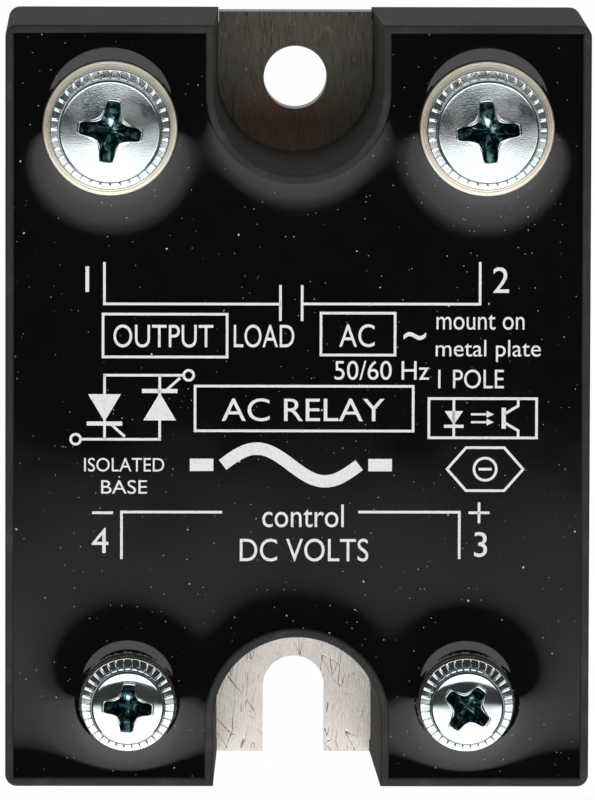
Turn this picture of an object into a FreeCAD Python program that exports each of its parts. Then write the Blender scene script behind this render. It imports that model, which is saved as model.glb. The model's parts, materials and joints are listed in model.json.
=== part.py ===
import FreeCAD, Part
import os
import re
import Sketcher

# A panel-mount solid state relay in a flat rectangular case, about 44.5 x 58.2 x 27 mm.
#
# Frame: origin at the centre of the base plate's underside, +Z up out of the heat sink,
# +Y towards the load terminals 1 and 2, -Y towards the control terminals 3 and 4, +X towards 2 and 3.
# A metal base plate carries a soldered ceramic substrate with two antiparallel thyristors.
# Copper straps lead up to the load posts, a driver board sits above the silicone gel,
# and epoxy fills the case up to just under its rim.
# Each terminal is a threaded post with a captive serrated washer and a cross-recess screw.

SIZES = (
    # alias, millimetres (degrees where the note says so), meaning
    ("case_width", 44.5, "outside width of the case along X"),
    ("case_length", 58.2, "outside length of the case along Y"),
    ("case_top", 22.5, "height of the case rim"),
    ("case_bottom", 0.2, "the skirt stops this far above the heat sink"),
    ("corner_radius", 0.9, "outer vertical corners of the case"),
    ("rim_radius", 0.2, "rounding of the rim's outer edges"),
    ("wall", 0.65, "case wall above the ledge"),
    ("skirt", 1.0, "case wall around the base plate"),
    ("ledge_width", 1.2, "how far the ledge reaches in over the base plate"),
    ("ledge_top", 4.4, "top of the ledge"),
    ("recess_centre", 24.05, "Y of the arc centre of each end recess"),
    ("recess_radius_top", 6.4, "recess half width at the rim"),
    ("recess_radius_base", 6.0, "recess half width at the base plate"),
    ("recess_wall_radius", 7.05, "half width over the wall around a recess"),
    ("overshoot", 2.0, "how far cutting profiles run past the case"),

    ("plate_width", 42.3, "base plate along X"),
    ("plate_length", 56.0, "base plate along Y without its tongues"),
    ("plate_thickness", 3.0, "base plate"),
    ("plate_corner", 1.0, "corner radius of the base plate"),
    ("tongue_width", 11.84, "tongues of the base plate in the recesses"),
    ("tongue_length", 57.8, "base plate over both tongues"),
    ("mount_y", 23.8, "mounting hole and mounting slot centres"),
    ("mount_hole_radius", 2.45, "mounting hole"),
    ("mount_slot_radius", 2.4, "half width of the mounting slot"),
    ("bond_line", 0.15, "adhesive between base plate and ledge"),
    ("bond_clearance", 0.1, "adhesive set back from the recess face"),

    ("gel_top", 9.0, "silicone gel level"),
    ("epoxy_top", 21.75, "epoxy level"),

    ("substrate_width", 34.0, "ceramic substrate along X"),
    ("substrate_length", 24.0, "ceramic substrate along Y"),
    ("substrate_y", 4.0, "Y of the substrate's centre"),
    ("solder_thickness", 0.1, "solder under the substrate"),
    ("foil_thickness", 0.3, "copper foil on each side of the ceramic"),
    ("ceramic_thickness", 0.63, "ceramic plate"),
    ("foil_margin", 0.6, "bare ceramic border outside the copper"),
    ("pad_width", 15.0, "each load copper pad along X"),
    ("pad_gap", 0.6, "gap between the two load pads"),
    ("gate_pad_size", 2.4, "square copper island of each gate"),
    ("gate_pad_x", 5.4, "X of the gate islands"),
    ("gate_pad_y", -5.0, "Y of the gate islands"),
    ("line_pad_bottom", -2.5, "lower Y edge of the load pads"),
    ("die_size", 8.4, "square thyristor die"),
    ("die_thickness", 0.35, "thyristor die with its solder"),
    ("die_x", 8.6, "X of the die centres"),
    ("die_y", 3.0, "Y of the die centres"),
    ("clip_width", 3.4, "copper clip along Y"),
    ("clip_thickness", 0.6, "copper clip"),
    ("clip_rise", 1.2, "height of the clip's bridge above the die"),
    ("clip_top_length", 5.0, "part of the clip soldered on the die"),
    ("clip_foot_length", 1.8, "part of the clip soldered on the other pad"),
    ("clip_foot_x", 2.0, "X of the clip's foot beyond the middle"),
    ("clip_offset", 2.3, "the two clips pass each other this far off the die centre"),
    ("ribbon_width", 0.4, "gate ribbon along X"),
    ("ribbon_thickness", 0.2, "gate ribbon"),
    ("ribbon_rise", 0.5, "clear height of the gate ribbon's arch above the die"),
    ("ribbon_landing", 0.6, "how far each end of the ribbon reaches over its pad or die"),

    ("load_x", 14.3, "X of the load terminals"),
    ("load_y", 21.3, "Y of the load terminals"),
    ("control_x", 12.9, "X of the control terminals"),
    ("control_y", -22.6, "Y of the control terminals"),
    ("post_bottom", 13.3, "underside of every terminal post"),
    ("post_top", 23.3, "seating face of every terminal post"),
    ("groove_bottom", 18.2, "lower edge of the post's anchoring groove"),
    ("groove_top", 20.4, "upper edge of the post's anchoring groove"),
    ("bore_chamfer", 0.3, "countersink at the mouth of the threaded bore"),
    ("load_post_radius", 5.15, "load post at its seating face"),
    ("load_groove_radius", 4.3, "load post in its groove"),
    ("load_bore_radius", 2.05, "threaded bore of the load post at its major diameter"),
    ("load_bore_bottom", 15.4, "depth of the load post's bore"),
    ("control_post_radius", 3.68, "control post at its seating face"),
    ("control_groove_radius", 3.1, "control post in its groove"),
    ("control_bore_radius", 1.55, "threaded bore of the control post at its major diameter"),
    ("control_bore_bottom", 16.2, "depth of the control post's bore"),

    ("load_washer_radius", 4.58, "load washer"),
    ("load_washer_bore", 2.08, "hole of the load washer"),
    ("load_washer_height", 1.1, "load washer under the screw head"),
    ("load_washer_edge", 0.7, "load washer at its rim"),
    ("load_washer_bevel", 0.46, "width of the serrated bevel"),
    ("control_washer_radius", 3.6, "control washer"),
    ("control_washer_bore", 1.58, "hole of the control washer"),
    ("control_washer_height", 0.9, "control washer under the screw head"),
    ("control_washer_edge", 0.5, "control washer at its rim"),
    ("control_washer_bevel", 0.6, "width of the serrated bevel"),
    ("serration_width", 0.28, "groove between two serrations"),
    ("serration_depth", 0.25, "depth of a serration groove below the washer's top"),

    ("load_head_radius", 3.97, "M4 screw head"),
    ("load_head_height", 2.6, "M4 screw head"),
    ("load_head_round", 1.6, "rounding of the M4 head"),
    ("load_shank_radius", 2.0, "M4 thread, major radius"),
    ("load_shank_length", 8.0, "M4 thread below the head"),
    ("load_cross_length", 2.37, "reach of one wing of the M4 cross recess"),
    ("load_cross_width", 1.04, "width of a wing of the M4 cross recess"),
    ("load_cross_depth", 1.7, "depth of the M4 cross recess"),
    ("control_head_radius", 2.88, "M3 screw head"),
    ("control_head_height", 2.4, "M3 screw head"),
    ("control_head_round", 1.5, "rounding of the M3 head"),
    ("control_shank_radius", 1.5, "M3 thread, major radius"),
    ("control_shank_length", 7.0, "M3 thread below the head"),
    ("control_cross_length", 1.85, "reach of one wing of the M3 cross recess"),
    ("control_cross_width", 0.9, "width of a wing of the M3 cross recess"),
    ("control_cross_depth", 1.5, "depth of the M3 cross recess"),
    ("tip_chamfer", 0.4, "chamfer at each screw's tip"),
    ("turn_1", -7.5, "degrees that screw 1 is turned to"),
    ("turn_2", 4.5, "degrees that screw 2 is turned to"),
    ("turn_3", -36.0, "degrees that screw 3 is turned to"),
    ("turn_4", -3.0, "degrees that screw 4 is turned to"),

    ("strap_width", 7.0, "copper strap along X"),
    ("strap_thickness", 1.0, "copper strap"),
    ("strap_foot_y", 11.0, "inner end of the strap's foot"),
    ("strap_riser_y", 15.4, "outer face of the strap's riser"),
    ("strap_tab_y", 24.5, "outer end of the strap's top tab"),
    ("strap_x", 12.6, "X of the strap's centre"),

    ("board_width", 39.0, "driver board along X"),
    ("board_low_y", -26.8, "driver board, control end"),
    ("board_high_y", 13.2, "driver board, load end"),
    ("board_bottom", 11.0, "underside of the driver board"),
    ("board_thickness", 1.6, "driver board"),
    ("board_notch_radius", 7.8, "notch of the board around the recess wall"),
    ("pin_tail", 0.8, "how far pins stand out below the board"),
    ("pin_stub", 0.6, "how far pins stand out above the board"),
    ("control_pin_radius", 0.65, "pin from a control post into the board"),
    ("line_pin_radius", 0.5, "pin from a load pad up to the board"),
    ("line_pin_x", 15.0, "X of the line pins"),
    ("line_pin_y", 9.6, "Y of the line pins"),
    ("gate_pin_radius", 0.35, "pin from a gate island up to the board"),
    ("lead_radius", 0.3, "wire lead of a board component"),
    ("wire_radius", 0.25, "stretch of a lead between the body and its bend"),
    ("component_gap", 0.5, "board components stand this far off the board"),

    ("coupler_x", 0.0, "optocoupler centre"),
    ("coupler_y", -6.5, "optocoupler centre"),
    ("coupler_length", 8.6, "optocoupler along X"),
    ("coupler_width", 6.4, "optocoupler along Y"),
    ("coupler_height", 3.4, "optocoupler body"),
    ("coupler_pitch", 2.54, "lead pitch of the optocoupler"),
    ("coupler_row", 3.81, "half the distance between its lead rows"),
    ("coupler_lead_width", 0.5, "optocoupler lead along X"),
    ("coupler_lead_thickness", 0.3, "optocoupler lead along Y"),
    ("coupler_lead_top", 15.0, "top of the optocoupler's leads"),
    ("snubber_resistor_radius", 2.4, "body of the snubber resistor"),
    ("snubber_resistor_length", 15.0, "body of the snubber resistor"),
    ("snubber_resistor_span", 9.4, "half the distance between its leads"),
    ("snubber_resistor_x", 0.0, "snubber resistor centre"),
    ("snubber_resistor_y", 9.8, "snubber resistor centre"),
    ("capacitor_length", 13.0, "snubber capacitor along X"),
    ("capacitor_width", 5.0, "snubber capacitor along Y"),
    ("capacitor_height", 7.6, "snubber capacitor"),
    ("capacitor_x", 11.4, "snubber capacitor centre"),
    ("capacitor_y", 2.4, "snubber capacitor centre"),
    ("capacitor_span", 5.0, "half the distance between its leads"),
    ("varistor_radius", 4.6, "varistor disc"),
    ("varistor_thickness", 3.6, "varistor disc"),
    ("varistor_x", -11.0, "varistor centre"),
    ("varistor_y", 1.6, "varistor centre"),
    ("varistor_span", 2.5, "half the distance between its leads"),
    ("resistor_radius", 1.15, "small resistor body"),
    ("resistor_length", 6.2, "small resistor body"),
    ("resistor_span", 4.2, "half the distance between a small resistor's leads"),
    ("gate_resistor_x", 0.0, "gate resistors, middle of the pair"),
    ("gate_resistor_y", 1.8, "gate resistors, middle of the pair"),
    ("input_resistor_x", -13.0, "input resistors, middle of the pair"),
    ("input_resistor_y", -9.0, "input resistors, middle of the pair"),
    ("resistor_spacing", 3.4, "distance between the two resistors of a pair"),
    ("diode_radius", 1.35, "input diode body"),
    ("diode_length", 5.2, "input diode body"),
    ("diode_span", 4.2, "half the distance between the diode's leads"),
    ("diode_x", -13.0, "input diode centre"),
    ("diode_y", -15.4, "input diode centre"),
    ("transistor_radius", 2.4, "body of the current-limiting transistor"),
    ("transistor_height", 4.6, "body of the current-limiting transistor"),
    ("transistor_flat", 1.2, "flat of its body off the centre"),
    ("transistor_x", 13.0, "transistor centre"),
    ("transistor_y", -11.0, "transistor centre"),
    ("transistor_pitch", 1.27, "lead pitch of the transistor"),
    ("transistor_rise", 2.0, "the transistor stands this far off the board"),
)

NAMES = {alias for alias, _value, _note in SIZES}
UP = FreeCAD.Vector(0, 0, 1)
X_AXIS = FreeCAD.Vector(1, 0, 0)
doc = FreeCAD.newDocument("SolidStateRelay")


# ---------------------------------------------------------------- sheet and binding

def fill_sheet():
    sheet = doc.addObject("Spreadsheet::Sheet", "Sizes")
    for row, (alias, value, note) in enumerate(SIZES, start=1):
        sheet.set(f"A{row}", alias)
        sheet.set(f"B{row}", str(value))
        sheet.set(f"C{row}", note)
        sheet.setAlias(f"B{row}", alias)
    doc.recompute()


def from_sheet(formula):
    """Turn a formula written with aliases into one that names the sheet's cells."""
    return re.sub(r"[a-z_0-9]+", lambda word: ("Sizes." if word[0] in NAMES else "") + word[0], formula)


def bind(item, path, formula):
    item.setExpression(path, from_sheet(formula))


def bind_place(item, path, x, y, z):
    for letter, formula in zip("xyz", (x, y, z)):
        bind(item, f"{path}.Base.{letter}", formula)


# ---------------------------------------------------------------- sketches

def new_body(name):
    body = doc.addObject("PartDesign::Body", name)
    body.Label = name
    return body


def origin_plane(body, role):
    return next(item for item in body.Origin.OriginFeatures if item.Role == role)


def new_sketch(body, name, role="XY_Plane", x="0", y="0", z="0", turned=0):
    """A sketch on one of the body's own planes, moved by x, y, z and turned about its normal."""
    sketch = body.newObject("Sketcher::SketchObject", name)
    sketch.AttachmentSupport = [(origin_plane(body, role), "")]
    sketch.MapMode = "FlatFace"
    sketch.AttachmentOffset = FreeCAD.Placement(FreeCAD.Vector(), FreeCAD.Rotation(UP, turned))
    bind_place(sketch, "AttachmentOffset", x, y, z)
    return sketch


def dimension(sketch, name, formula, *rule):
    index = sketch.addConstraint(Sketcher.Constraint(*rule))
    sketch.renameConstraint(index, name)
    bind(sketch, f"Constraints.{name}", formula)


def circle_sketch(body, name, radius, **place):
    sketch = new_sketch(body, name, **place)
    sketch.addGeometry(Part.Circle(FreeCAD.Vector(), UP, 1.0))
    sketch.addConstraint(Sketcher.Constraint("Coincident", 0, 3, -1, 1))
    dimension(sketch, "radius", radius, "Radius", 0, 1.0)
    return sketch


def rectangle_sketch(body, name, width, height, **place):
    """A rectangle centred on the sketch's origin."""
    sketch = new_sketch(body, name, **place)
    corners = [FreeCAD.Vector(x, y, 0) for x, y in ((-1, -1), (1, -1), (1, 1), (-1, 1))]
    for side in range(4):
        sketch.addGeometry(Part.LineSegment(corners[side], corners[(side + 1) % 4]))
        sketch.addConstraint(Sketcher.Constraint("Horizontal" if side % 2 == 0 else "Vertical", side))
    for side in range(4):
        sketch.addConstraint(Sketcher.Constraint("Coincident", side, 2, (side + 1) % 4, 1))
    sketch.addConstraint(Sketcher.Constraint("Symmetric", 0, 1, 1, 2, -1, 1))
    dimension(sketch, "width", width, "DistanceX", 0, 1, 0, 2, 2.0)
    dimension(sketch, "height", height, "DistanceY", 1, 1, 1, 2, 2.0)
    return sketch


def polygon_sketch(body, name, points, **place):
    """A closed outline through the given points, each an (across, up) pair of formulas."""
    sketch = new_sketch(body, name, **place)
    count = len(points)
    start = [FreeCAD.Rotation(UP, 360.0 * k / count).multVec(FreeCAD.Vector(10, 0, 0)) for k in range(count)]
    for k in range(count):
        sketch.addGeometry(Part.LineSegment(start[k], start[(k + 1) % count]))
    for k in range(count):
        sketch.addConstraint(Sketcher.Constraint("Coincident", k, 2, (k + 1) % count, 1))
    for k, (across, up) in enumerate(points):
        dimension(sketch, f"across_{k}", across, "DistanceX", -1, 1, k, 1, 1.0)
        dimension(sketch, f"up_{k}", up, "DistanceY", -1, 1, k, 1, 1.0)
    return sketch


def recess_sketch(body, name, radius, centre, mouth, **place):
    """A U: a half circle about (0, centre) whose straight sides run up to the mouth."""
    sketch = new_sketch(body, name, **place)
    sketch.addGeometry(Part.LineSegment(FreeCAD.Vector(-5, 30, 0), FreeCAD.Vector(5, 30, 0)))
    sketch.addGeometry(Part.LineSegment(FreeCAD.Vector(5, 30, 0), FreeCAD.Vector(5, 20, 0)))
    arc = Part.Arc(FreeCAD.Vector(-5, 20, 0), FreeCAD.Vector(0, 15, 0), FreeCAD.Vector(5, 20, 0))
    sketch.addGeometry(arc)
    sketch.addGeometry(Part.LineSegment(FreeCAD.Vector(-5, 20, 0), FreeCAD.Vector(-5, 30, 0)))
    for rule in (
        ("Coincident", 0, 2, 1, 1), ("Coincident", 3, 2, 0, 1),
        ("Tangent", 1, 2, 2, 2), ("Tangent", 2, 1, 3, 1),
        ("Horizontal", 0), ("Vertical", 1), ("Vertical", 3), ("PointOnObject", 2, 3, -2),
    ):
        sketch.addConstraint(Sketcher.Constraint(*rule))
    dimension(sketch, "radius", radius, "Radius", 2, 5.0)
    dimension(sketch, "centre", centre, "DistanceY", -1, 1, 2, 3, 20.0)
    dimension(sketch, "mouth", mouth, "DistanceY", -1, 1, 0, 1, 30.0)
    return sketch


# ---------------------------------------------------------------- features

def pad(body, sketch, length):
    feature = body.newObject("PartDesign::Pad", "Pad")
    feature.Profile = sketch
    bind(feature, "Length", length)
    return feature


def pocket(body, sketch, length, upwards=False, taper="0"):
    """Cut down from the sketch, or up when upwards; a positive taper narrows it with depth."""
    feature = body.newObject("PartDesign::Pocket", "Pocket")
    feature.Profile = sketch
    feature.Type = "Length"
    feature.Reversed = upwards
    bind(feature, "Length", length)
    bind(feature, "TaperAngle", f"-1 * ({taper})")
    return feature


def revolve(body, points):
    """Turn an outline of (radius, height) pairs about the body's Z axis."""
    sketch = polygon_sketch(body, "Profile", points, role="XZ_Plane")
    feature = body.newObject("PartDesign::Revolution", "Revolution")
    feature.Profile = sketch
    feature.ReferenceAxis = (sketch, ["V_Axis"])
    feature.Angle = 360.0
    return feature


def repeat_about_z(body, feature, count):
    pattern = body.newObject("PartDesign::PolarPattern", "Pattern")
    pattern.Originals = [feature]
    pattern.Axis = (next(item for item in body.Origin.OriginFeatures if item.Role == "Z_Axis"), [""])
    pattern.Angle = 360.0
    pattern.Occurrences = count
    body.Tip = pattern


def mirror_end(body, features):
    """Repeat features of the +Y end at the -Y end."""
    mirror = body.newObject("PartDesign::Mirrored", "Mirror")
    mirror.Originals = features
    mirror.MirrorPlane = (origin_plane(body, "XZ_Plane"), [""])
    body.Tip = mirror
    return mirror


def fillet(body, base, radius, chooses):
    """Round the edges of the base feature that the given test chooses."""
    doc.recompute()
    edges = [f"Edge{k}" for k, edge in enumerate(base.Shape.Edges, start=1) if chooses(edge)]
    feature = body.newObject("PartDesign::Fillet", "Fillet")
    feature.Base = (base, edges)
    bind(feature, "Radius", radius)
    return feature


def is_vertical(edge):
    box = edge.BoundBox
    return box.XLength < 1e-6 and box.YLength < 1e-6


def lies_at(edge, height):
    box = edge.BoundBox
    return abs(box.ZMin - height) < 1e-6 and abs(box.ZMax - height) < 1e-6


# ---------------------------------------------------------------- simple solids

def box(name, size, centre, bottom):
    """A box centred in plan on (x, y) and standing on height bottom; every number a formula."""
    item = doc.addObject("Part::Box", name)
    item.Label = name
    for prop, formula in zip(("Length", "Width", "Height"), size):
        bind(item, prop, formula)
    bind_place(item, "Placement", f"{centre[0]} - ({size[0]}) / 2", f"{centre[1]} - ({size[1]}) / 2", bottom)
    return item


def rod(name, radius, length, start, direction=UP):
    """A round rod that starts at (x, y, z) and runs along direction."""
    item = doc.addObject("Part::Cylinder", name)
    item.Label = name
    bind(item, "Radius", radius)
    bind(item, "Height", length)
    item.Placement = FreeCAD.Placement(FreeCAD.Vector(), FreeCAD.Rotation(UP, direction))
    bind_place(item, "Placement", *start)
    return item


def join(name, items):
    fused = doc.addObject("Part::MultiFuse", name)
    fused.Label = name
    fused.Shapes = items
    return fused


def group(name, items):
    """Separate solids that share one sub-part."""
    compound = doc.addObject("Part::Compound", name)
    compound.Label = name
    compound.Links = items
    return compound


def cut(name, blank, tools):
    """The blank with the room that the tools take up removed."""
    result = doc.addObject("Part::Cut", name)
    result.Label = name
    result.Base = blank
    result.Tool = group(f"{name}_room", tools)
    return result


# ---------------------------------------------------------------- case, plate and fillings

def make_case():
    body = new_body("case_shell")
    outer = rectangle_sketch(body, "Outer", "case_width", "case_length", z="case_bottom")
    block = pad(body, outer, "case_top - case_bottom")
    fillet(body, block, "corner_radius", is_vertical)
    seat = rectangle_sketch(body, "Seat", "case_width - 2 * skirt", "case_length - 2 * skirt",
                            z="case_bottom")
    pocket(body, seat, "plate_thickness + bond_line - case_bottom", upwards=True)
    cavity = rectangle_sketch(body, "Cavity", "case_width - 2 * wall", "case_length - 2 * wall", z="case_top")
    pocket(body, cavity, "case_top - ledge_top")
    window = rectangle_sketch(body, "Window", "case_width - 2 * skirt - 2 * ledge_width",
                              "case_length - 2 * skirt - 2 * ledge_width", z="ledge_top")
    pocket(body, window, "ledge_top - plate_thickness - bond_line")
    wall_outline = recess_sketch(body, "RecessWall", "recess_wall_radius", "recess_centre",
                                 "case_length / 2 - wall / 2", z="plate_thickness + bond_line")
    wall = pad(body, wall_outline, "case_top - plate_thickness - bond_line")
    mouth = recess_sketch(body, "Recess", "recess_radius_top", "recess_centre",
                          "case_length / 2 + overshoot", z="case_top")
    recess = pocket(body, mouth, "case_top - case_bottom",
                    taper="atan((recess_radius_top - recess_radius_base) / (case_top - plate_thickness))")
    mirrored = mirror_end(body, [wall, recess])
    rim = next(value for alias, value, _note in SIZES if alias == "case_top")
    fillet(body, mirrored, "rim_radius", lambda edge: lies_at(edge, rim))
    return body


def make_plate():
    body = new_body("base_plate")
    main = pad(body, rectangle_sketch(body, "Main", "plate_width", "plate_length"), "plate_thickness")
    fillet(body, main, "plate_corner", is_vertical)
    pad(body, rectangle_sketch(body, "Tongues", "tongue_width", "tongue_length"), "plate_thickness")
    hole = circle_sketch(body, "MountHole", "mount_hole_radius", y="mount_y")
    pocket(body, hole, "plate_thickness", upwards=True)
    slot = recess_sketch(body, "MountSlot", "mount_slot_radius", "mount_y",
                         "case_length / 2 + overshoot", turned=180)
    pocket(body, slot, "plate_thickness", upwards=True)
    return body


def make_seal():
    """The adhesive bead between the base plate and the case's ledge and recess walls."""
    body = new_body("base_seal")
    outer = rectangle_sketch(body, "Outer", "case_width - 2 * skirt", "case_length - 2 * skirt",
                             z="plate_thickness")
    pad(body, outer, "bond_line")
    inner = rectangle_sketch(body, "Inner", "case_width - 2 * skirt - 2 * ledge_width",
                             "case_length - 2 * skirt - 2 * ledge_width", z="plate_thickness")
    pocket(body, inner, "bond_line", upwards=True)
    bead_outline = recess_sketch(body, "RecessBead", "recess_wall_radius", "recess_centre",
                                 "case_length / 2 - skirt - ledge_width / 2", z="plate_thickness")
    bead = pad(body, bead_outline, "bond_line")
    open_outline = recess_sketch(body, "RecessOpen", "recess_radius_base + bond_clearance", "recess_centre",
                                 "case_length / 2 + overshoot", z="plate_thickness")
    opening = pocket(body, open_outline, "bond_line", upwards=True)
    mirror_end(body, [bead, opening])
    return body


def filling_blank(name, bottom, top, inset):
    """A block that fills the case between two levels, clear of the recess walls."""
    body = new_body(name)
    outline = rectangle_sketch(body, "Outline", f"case_width - 2 * ({inset})",
                               f"case_length - 2 * ({inset})", z=bottom)
    pad(body, outline, f"{top} - ({bottom})")
    bite = recess_sketch(body, "RecessBite", "recess_wall_radius", "recess_centre",
                         "case_length / 2 + overshoot", z=bottom)
    mirror_end(body, [pocket(body, bite, f"{top} - ({bottom})", upwards=True)])
    return body


# ---------------------------------------------------------------- power stage

SIDES = (("1", "-1"), ("2", "1"))
FOIL_BOTTOM = "plate_thickness + solder_thickness"
CERAMIC_BOTTOM = f"{FOIL_BOTTOM} + foil_thickness"
PAD_BOTTOM = f"{CERAMIC_BOTTOM} + ceramic_thickness"
PAD_TOP = f"{PAD_BOTTOM} + foil_thickness"
DIE_TOP = f"{PAD_TOP} + die_thickness"


def make_substrate():
    centre = ("0", "substrate_y")
    copper = ("substrate_width - 2 * foil_margin", "substrate_length - 2 * foil_margin")
    return [
        box("substrate_solder", (*copper, "solder_thickness"), centre, "plate_thickness"),
        box("substrate_back_foil", (*copper, "foil_thickness"), centre, FOIL_BOTTOM),
        box("ceramic_substrate", ("substrate_width", "substrate_length", "ceramic_thickness"), centre,
            CERAMIC_BOTTOM),
    ]


def make_load_pad(number, side):
    """The copper pad of one load terminal, on the side of that terminal."""
    length = "substrate_y + substrate_length / 2 - foil_margin - line_pad_bottom"
    centre = (f"{side} * (pad_gap / 2 + pad_width / 2)", f"line_pad_bottom + ({length}) / 2")
    return box(f"load_pad_{number}", ("pad_width", length, "foil_thickness"), centre, PAD_BOTTOM)


def make_gate_pads():
    size = ("gate_pad_size", "gate_pad_size", "foil_thickness")
    pads = [box(f"GatePad{number}", size, (f"{side} * gate_pad_x", "gate_pad_y"), PAD_BOTTOM)
            for number, side in SIDES]
    return group("gate_pads", pads)


def make_die(number, side):
    size = ("die_size", "die_size", "die_thickness")
    return box(f"thyristor_die_{number}", size, (f"{side} * die_x", "die_y"), PAD_TOP)


def make_clip(number, side):
    """A copper clip from the top of one die over to the other side's pad."""
    bridge_bottom = f"{DIE_TOP} + clip_rise"
    y = f"die_y - ({side}) * clip_offset"
    foot_x = f"-1 * ({side}) * clip_foot_x"
    reach = "die_x + clip_foot_x + clip_foot_length / 2 + clip_top_length / 2"
    middle_x = f"({side}) * (die_x + clip_top_length / 2 - clip_foot_x - clip_foot_length / 2) / 2"
    top = box(f"ClipTop{number}", ("clip_top_length", "clip_width", "clip_rise"), (f"{side} * die_x", y),
              DIE_TOP)
    bridge = box(f"ClipBridge{number}", (reach, "clip_width", "clip_thickness"), (middle_x, y), bridge_bottom)
    foot_height = "die_thickness + clip_rise"
    foot = box(f"ClipFoot{number}", ("clip_foot_length", "clip_width", foot_height), (foot_x, y), PAD_TOP)
    return join(f"die_clip_{number}", [top, bridge, foot])


def make_gate_ribbons():
    """A ribbon that arches from each gate island over to the near edge of its die."""
    ribbons = []
    pad_end = "gate_pad_y + gate_pad_size / 2 - ribbon_landing"
    die_end = "die_y - die_size / 2 + ribbon_landing"
    arch_bottom = f"{DIE_TOP} + ribbon_rise"
    for number, side in SIDES:
        x = f"{side} * gate_pad_x"
        span = ("ribbon_width", f"{die_end} - ({pad_end}) + ribbon_width", "ribbon_thickness")
        pieces = [
            box(f"RibbonArch{number}", span, (x, f"({die_end} + {pad_end}) / 2"), arch_bottom),
            box(f"RibbonPadEnd{number}", ("ribbon_width", "ribbon_width", f"{arch_bottom} - ({PAD_TOP})"),
                (x, pad_end), PAD_TOP),
            box(f"RibbonDieEnd{number}", ("ribbon_width", "ribbon_width", "ribbon_rise"),
                (x, die_end), DIE_TOP),
        ]
        ribbons.append(join(f"Ribbon{number}", pieces))
    return group("gate_ribbons", ribbons)


def make_strap(number, side):
    """A copper strap bent like a Z: foot on the pad, riser, and tab under the load post."""
    body = new_body(f"load_strap_{number}")
    inner_riser = "strap_riser_y - strap_thickness"
    outline = (
        ("strap_foot_y", PAD_TOP),
        ("strap_riser_y", PAD_TOP),
        ("strap_riser_y", "post_bottom - strap_thickness"),
        ("strap_tab_y", "post_bottom - strap_thickness"),
        ("strap_tab_y", "post_bottom"),
        (inner_riser, "post_bottom"),
        (inner_riser, f"{PAD_TOP} + strap_thickness"),
        ("strap_foot_y", f"{PAD_TOP} + strap_thickness"),
    )
    edge_x = f"{side} * strap_x - strap_width / 2"
    sketch = polygon_sketch(body, "Profile", outline, role="YZ_Plane", z=edge_x)
    pad(body, sketch, "strap_width")
    return body


# ---------------------------------------------------------------- terminals

TERMINALS = (
    # number, kind, x, y
    ("1", "load", "-1 * load_x", "load_y"),
    ("2", "load", "load_x", "load_y"),
    ("3", "control", "control_x", "control_y"),
    ("4", "control", "-1 * control_x", "control_y"),
)


def make_post(number, kind, x, y):
    """A round post with an anchoring groove and a blind threaded bore open at the top."""
    body = new_body(f"{kind}_post_{number}")
    edge, waist, bore = f"{kind}_post_radius", f"{kind}_groove_radius", f"{kind}_bore_radius"
    revolve(body, (
        ("0", "post_bottom"), (edge, "post_bottom"), (edge, "groove_bottom"), (waist, "groove_bottom"),
        (waist, "groove_top"), (edge, "groove_top"), (edge, "post_top"),
        (f"{bore} + bore_chamfer", "post_top"), (bore, "post_top - bore_chamfer"),
        (bore, f"{kind}_bore_bottom"), ("0", f"{kind}_bore_bottom"),
    ))
    bind_place(body, "Placement", x, y, "0")
    return body


def make_bore_room(number, kind, x, y):
    """The space inside a post's bore, which the epoxy doesn't reach."""
    bottom = f"{kind}_bore_bottom"
    radius = f"{kind}_bore_radius + bore_chamfer"
    return rod(f"BoreRoom{number}", radius, f"post_top - {bottom}", (x, y, bottom))


def make_washer(number, kind, x, y, teeth):
    """A washer with a ring of radial serrations on its bevelled rim."""
    body = new_body(f"{kind}_washer_{number}")
    rim, bore = f"{kind}_washer_radius", f"{kind}_washer_bore"
    height, bevel = f"{kind}_washer_height", f"{kind}_washer_bevel"
    revolve(body, (
        (bore, "0"), (rim, "0"), (rim, f"{kind}_washer_edge"), (f"{rim} - {bevel}", height), (bore, height),
    ))
    notch = rectangle_sketch(body, "Serration", f"2 * {bevel}", "serration_width", x=rim, z=height)
    repeat_about_z(body, pocket(body, notch, f"serration_depth + {height} - {kind}_washer_edge"), teeth)
    bind_place(body, "Placement", x, y, "post_top")
    return body


def make_screw(number, kind, x, y):
    """A pan-head screw with a four-winged recess; its thread is a plain shank at the major diameter."""
    body = new_body(f"{kind}_screw_{number}")
    head, shank, height = f"{kind}_head_radius", f"{kind}_shank_radius", f"{kind}_head_height"
    tip = f"-1 * {kind}_shank_length"
    turned = revolve(body, (
        ("0", tip), (f"{shank} - tip_chamfer", tip), (shank, f"{tip} + tip_chamfer"), (shank, "0"),
        (head, "0"), (head, height), ("0", height),
    ))
    top = next(value for alias, value, _note in SIZES if alias == height)
    fillet(body, turned, f"{kind}_head_round", lambda edge: lies_at(edge, top))
    wing = rectangle_sketch(body, "Wing", f"{kind}_cross_length", f"{kind}_cross_width",
                            x=f"{kind}_cross_length / 2", z=height)
    repeat_about_z(body, pocket(body, wing, f"{kind}_cross_depth"), 4)
    body.Placement = FreeCAD.Placement(FreeCAD.Vector(), FreeCAD.Rotation(UP, 1.0))
    bind(body, "Placement.Rotation.Angle", f"turn_{number}")
    bind_place(body, "Placement", x, y, f"post_top + {kind}_washer_height")
    return body


# ---------------------------------------------------------------- driver board

BOARD_TOP = "board_bottom + board_thickness"
PIN_BOTTOM = "board_bottom - pin_tail"
SEAT = f"{BOARD_TOP} + component_gap"


def make_pin(name, radius, x, y, bottom, top):
    return rod(name, radius, f"{top} - ({bottom})", (x, y, bottom))


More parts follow.
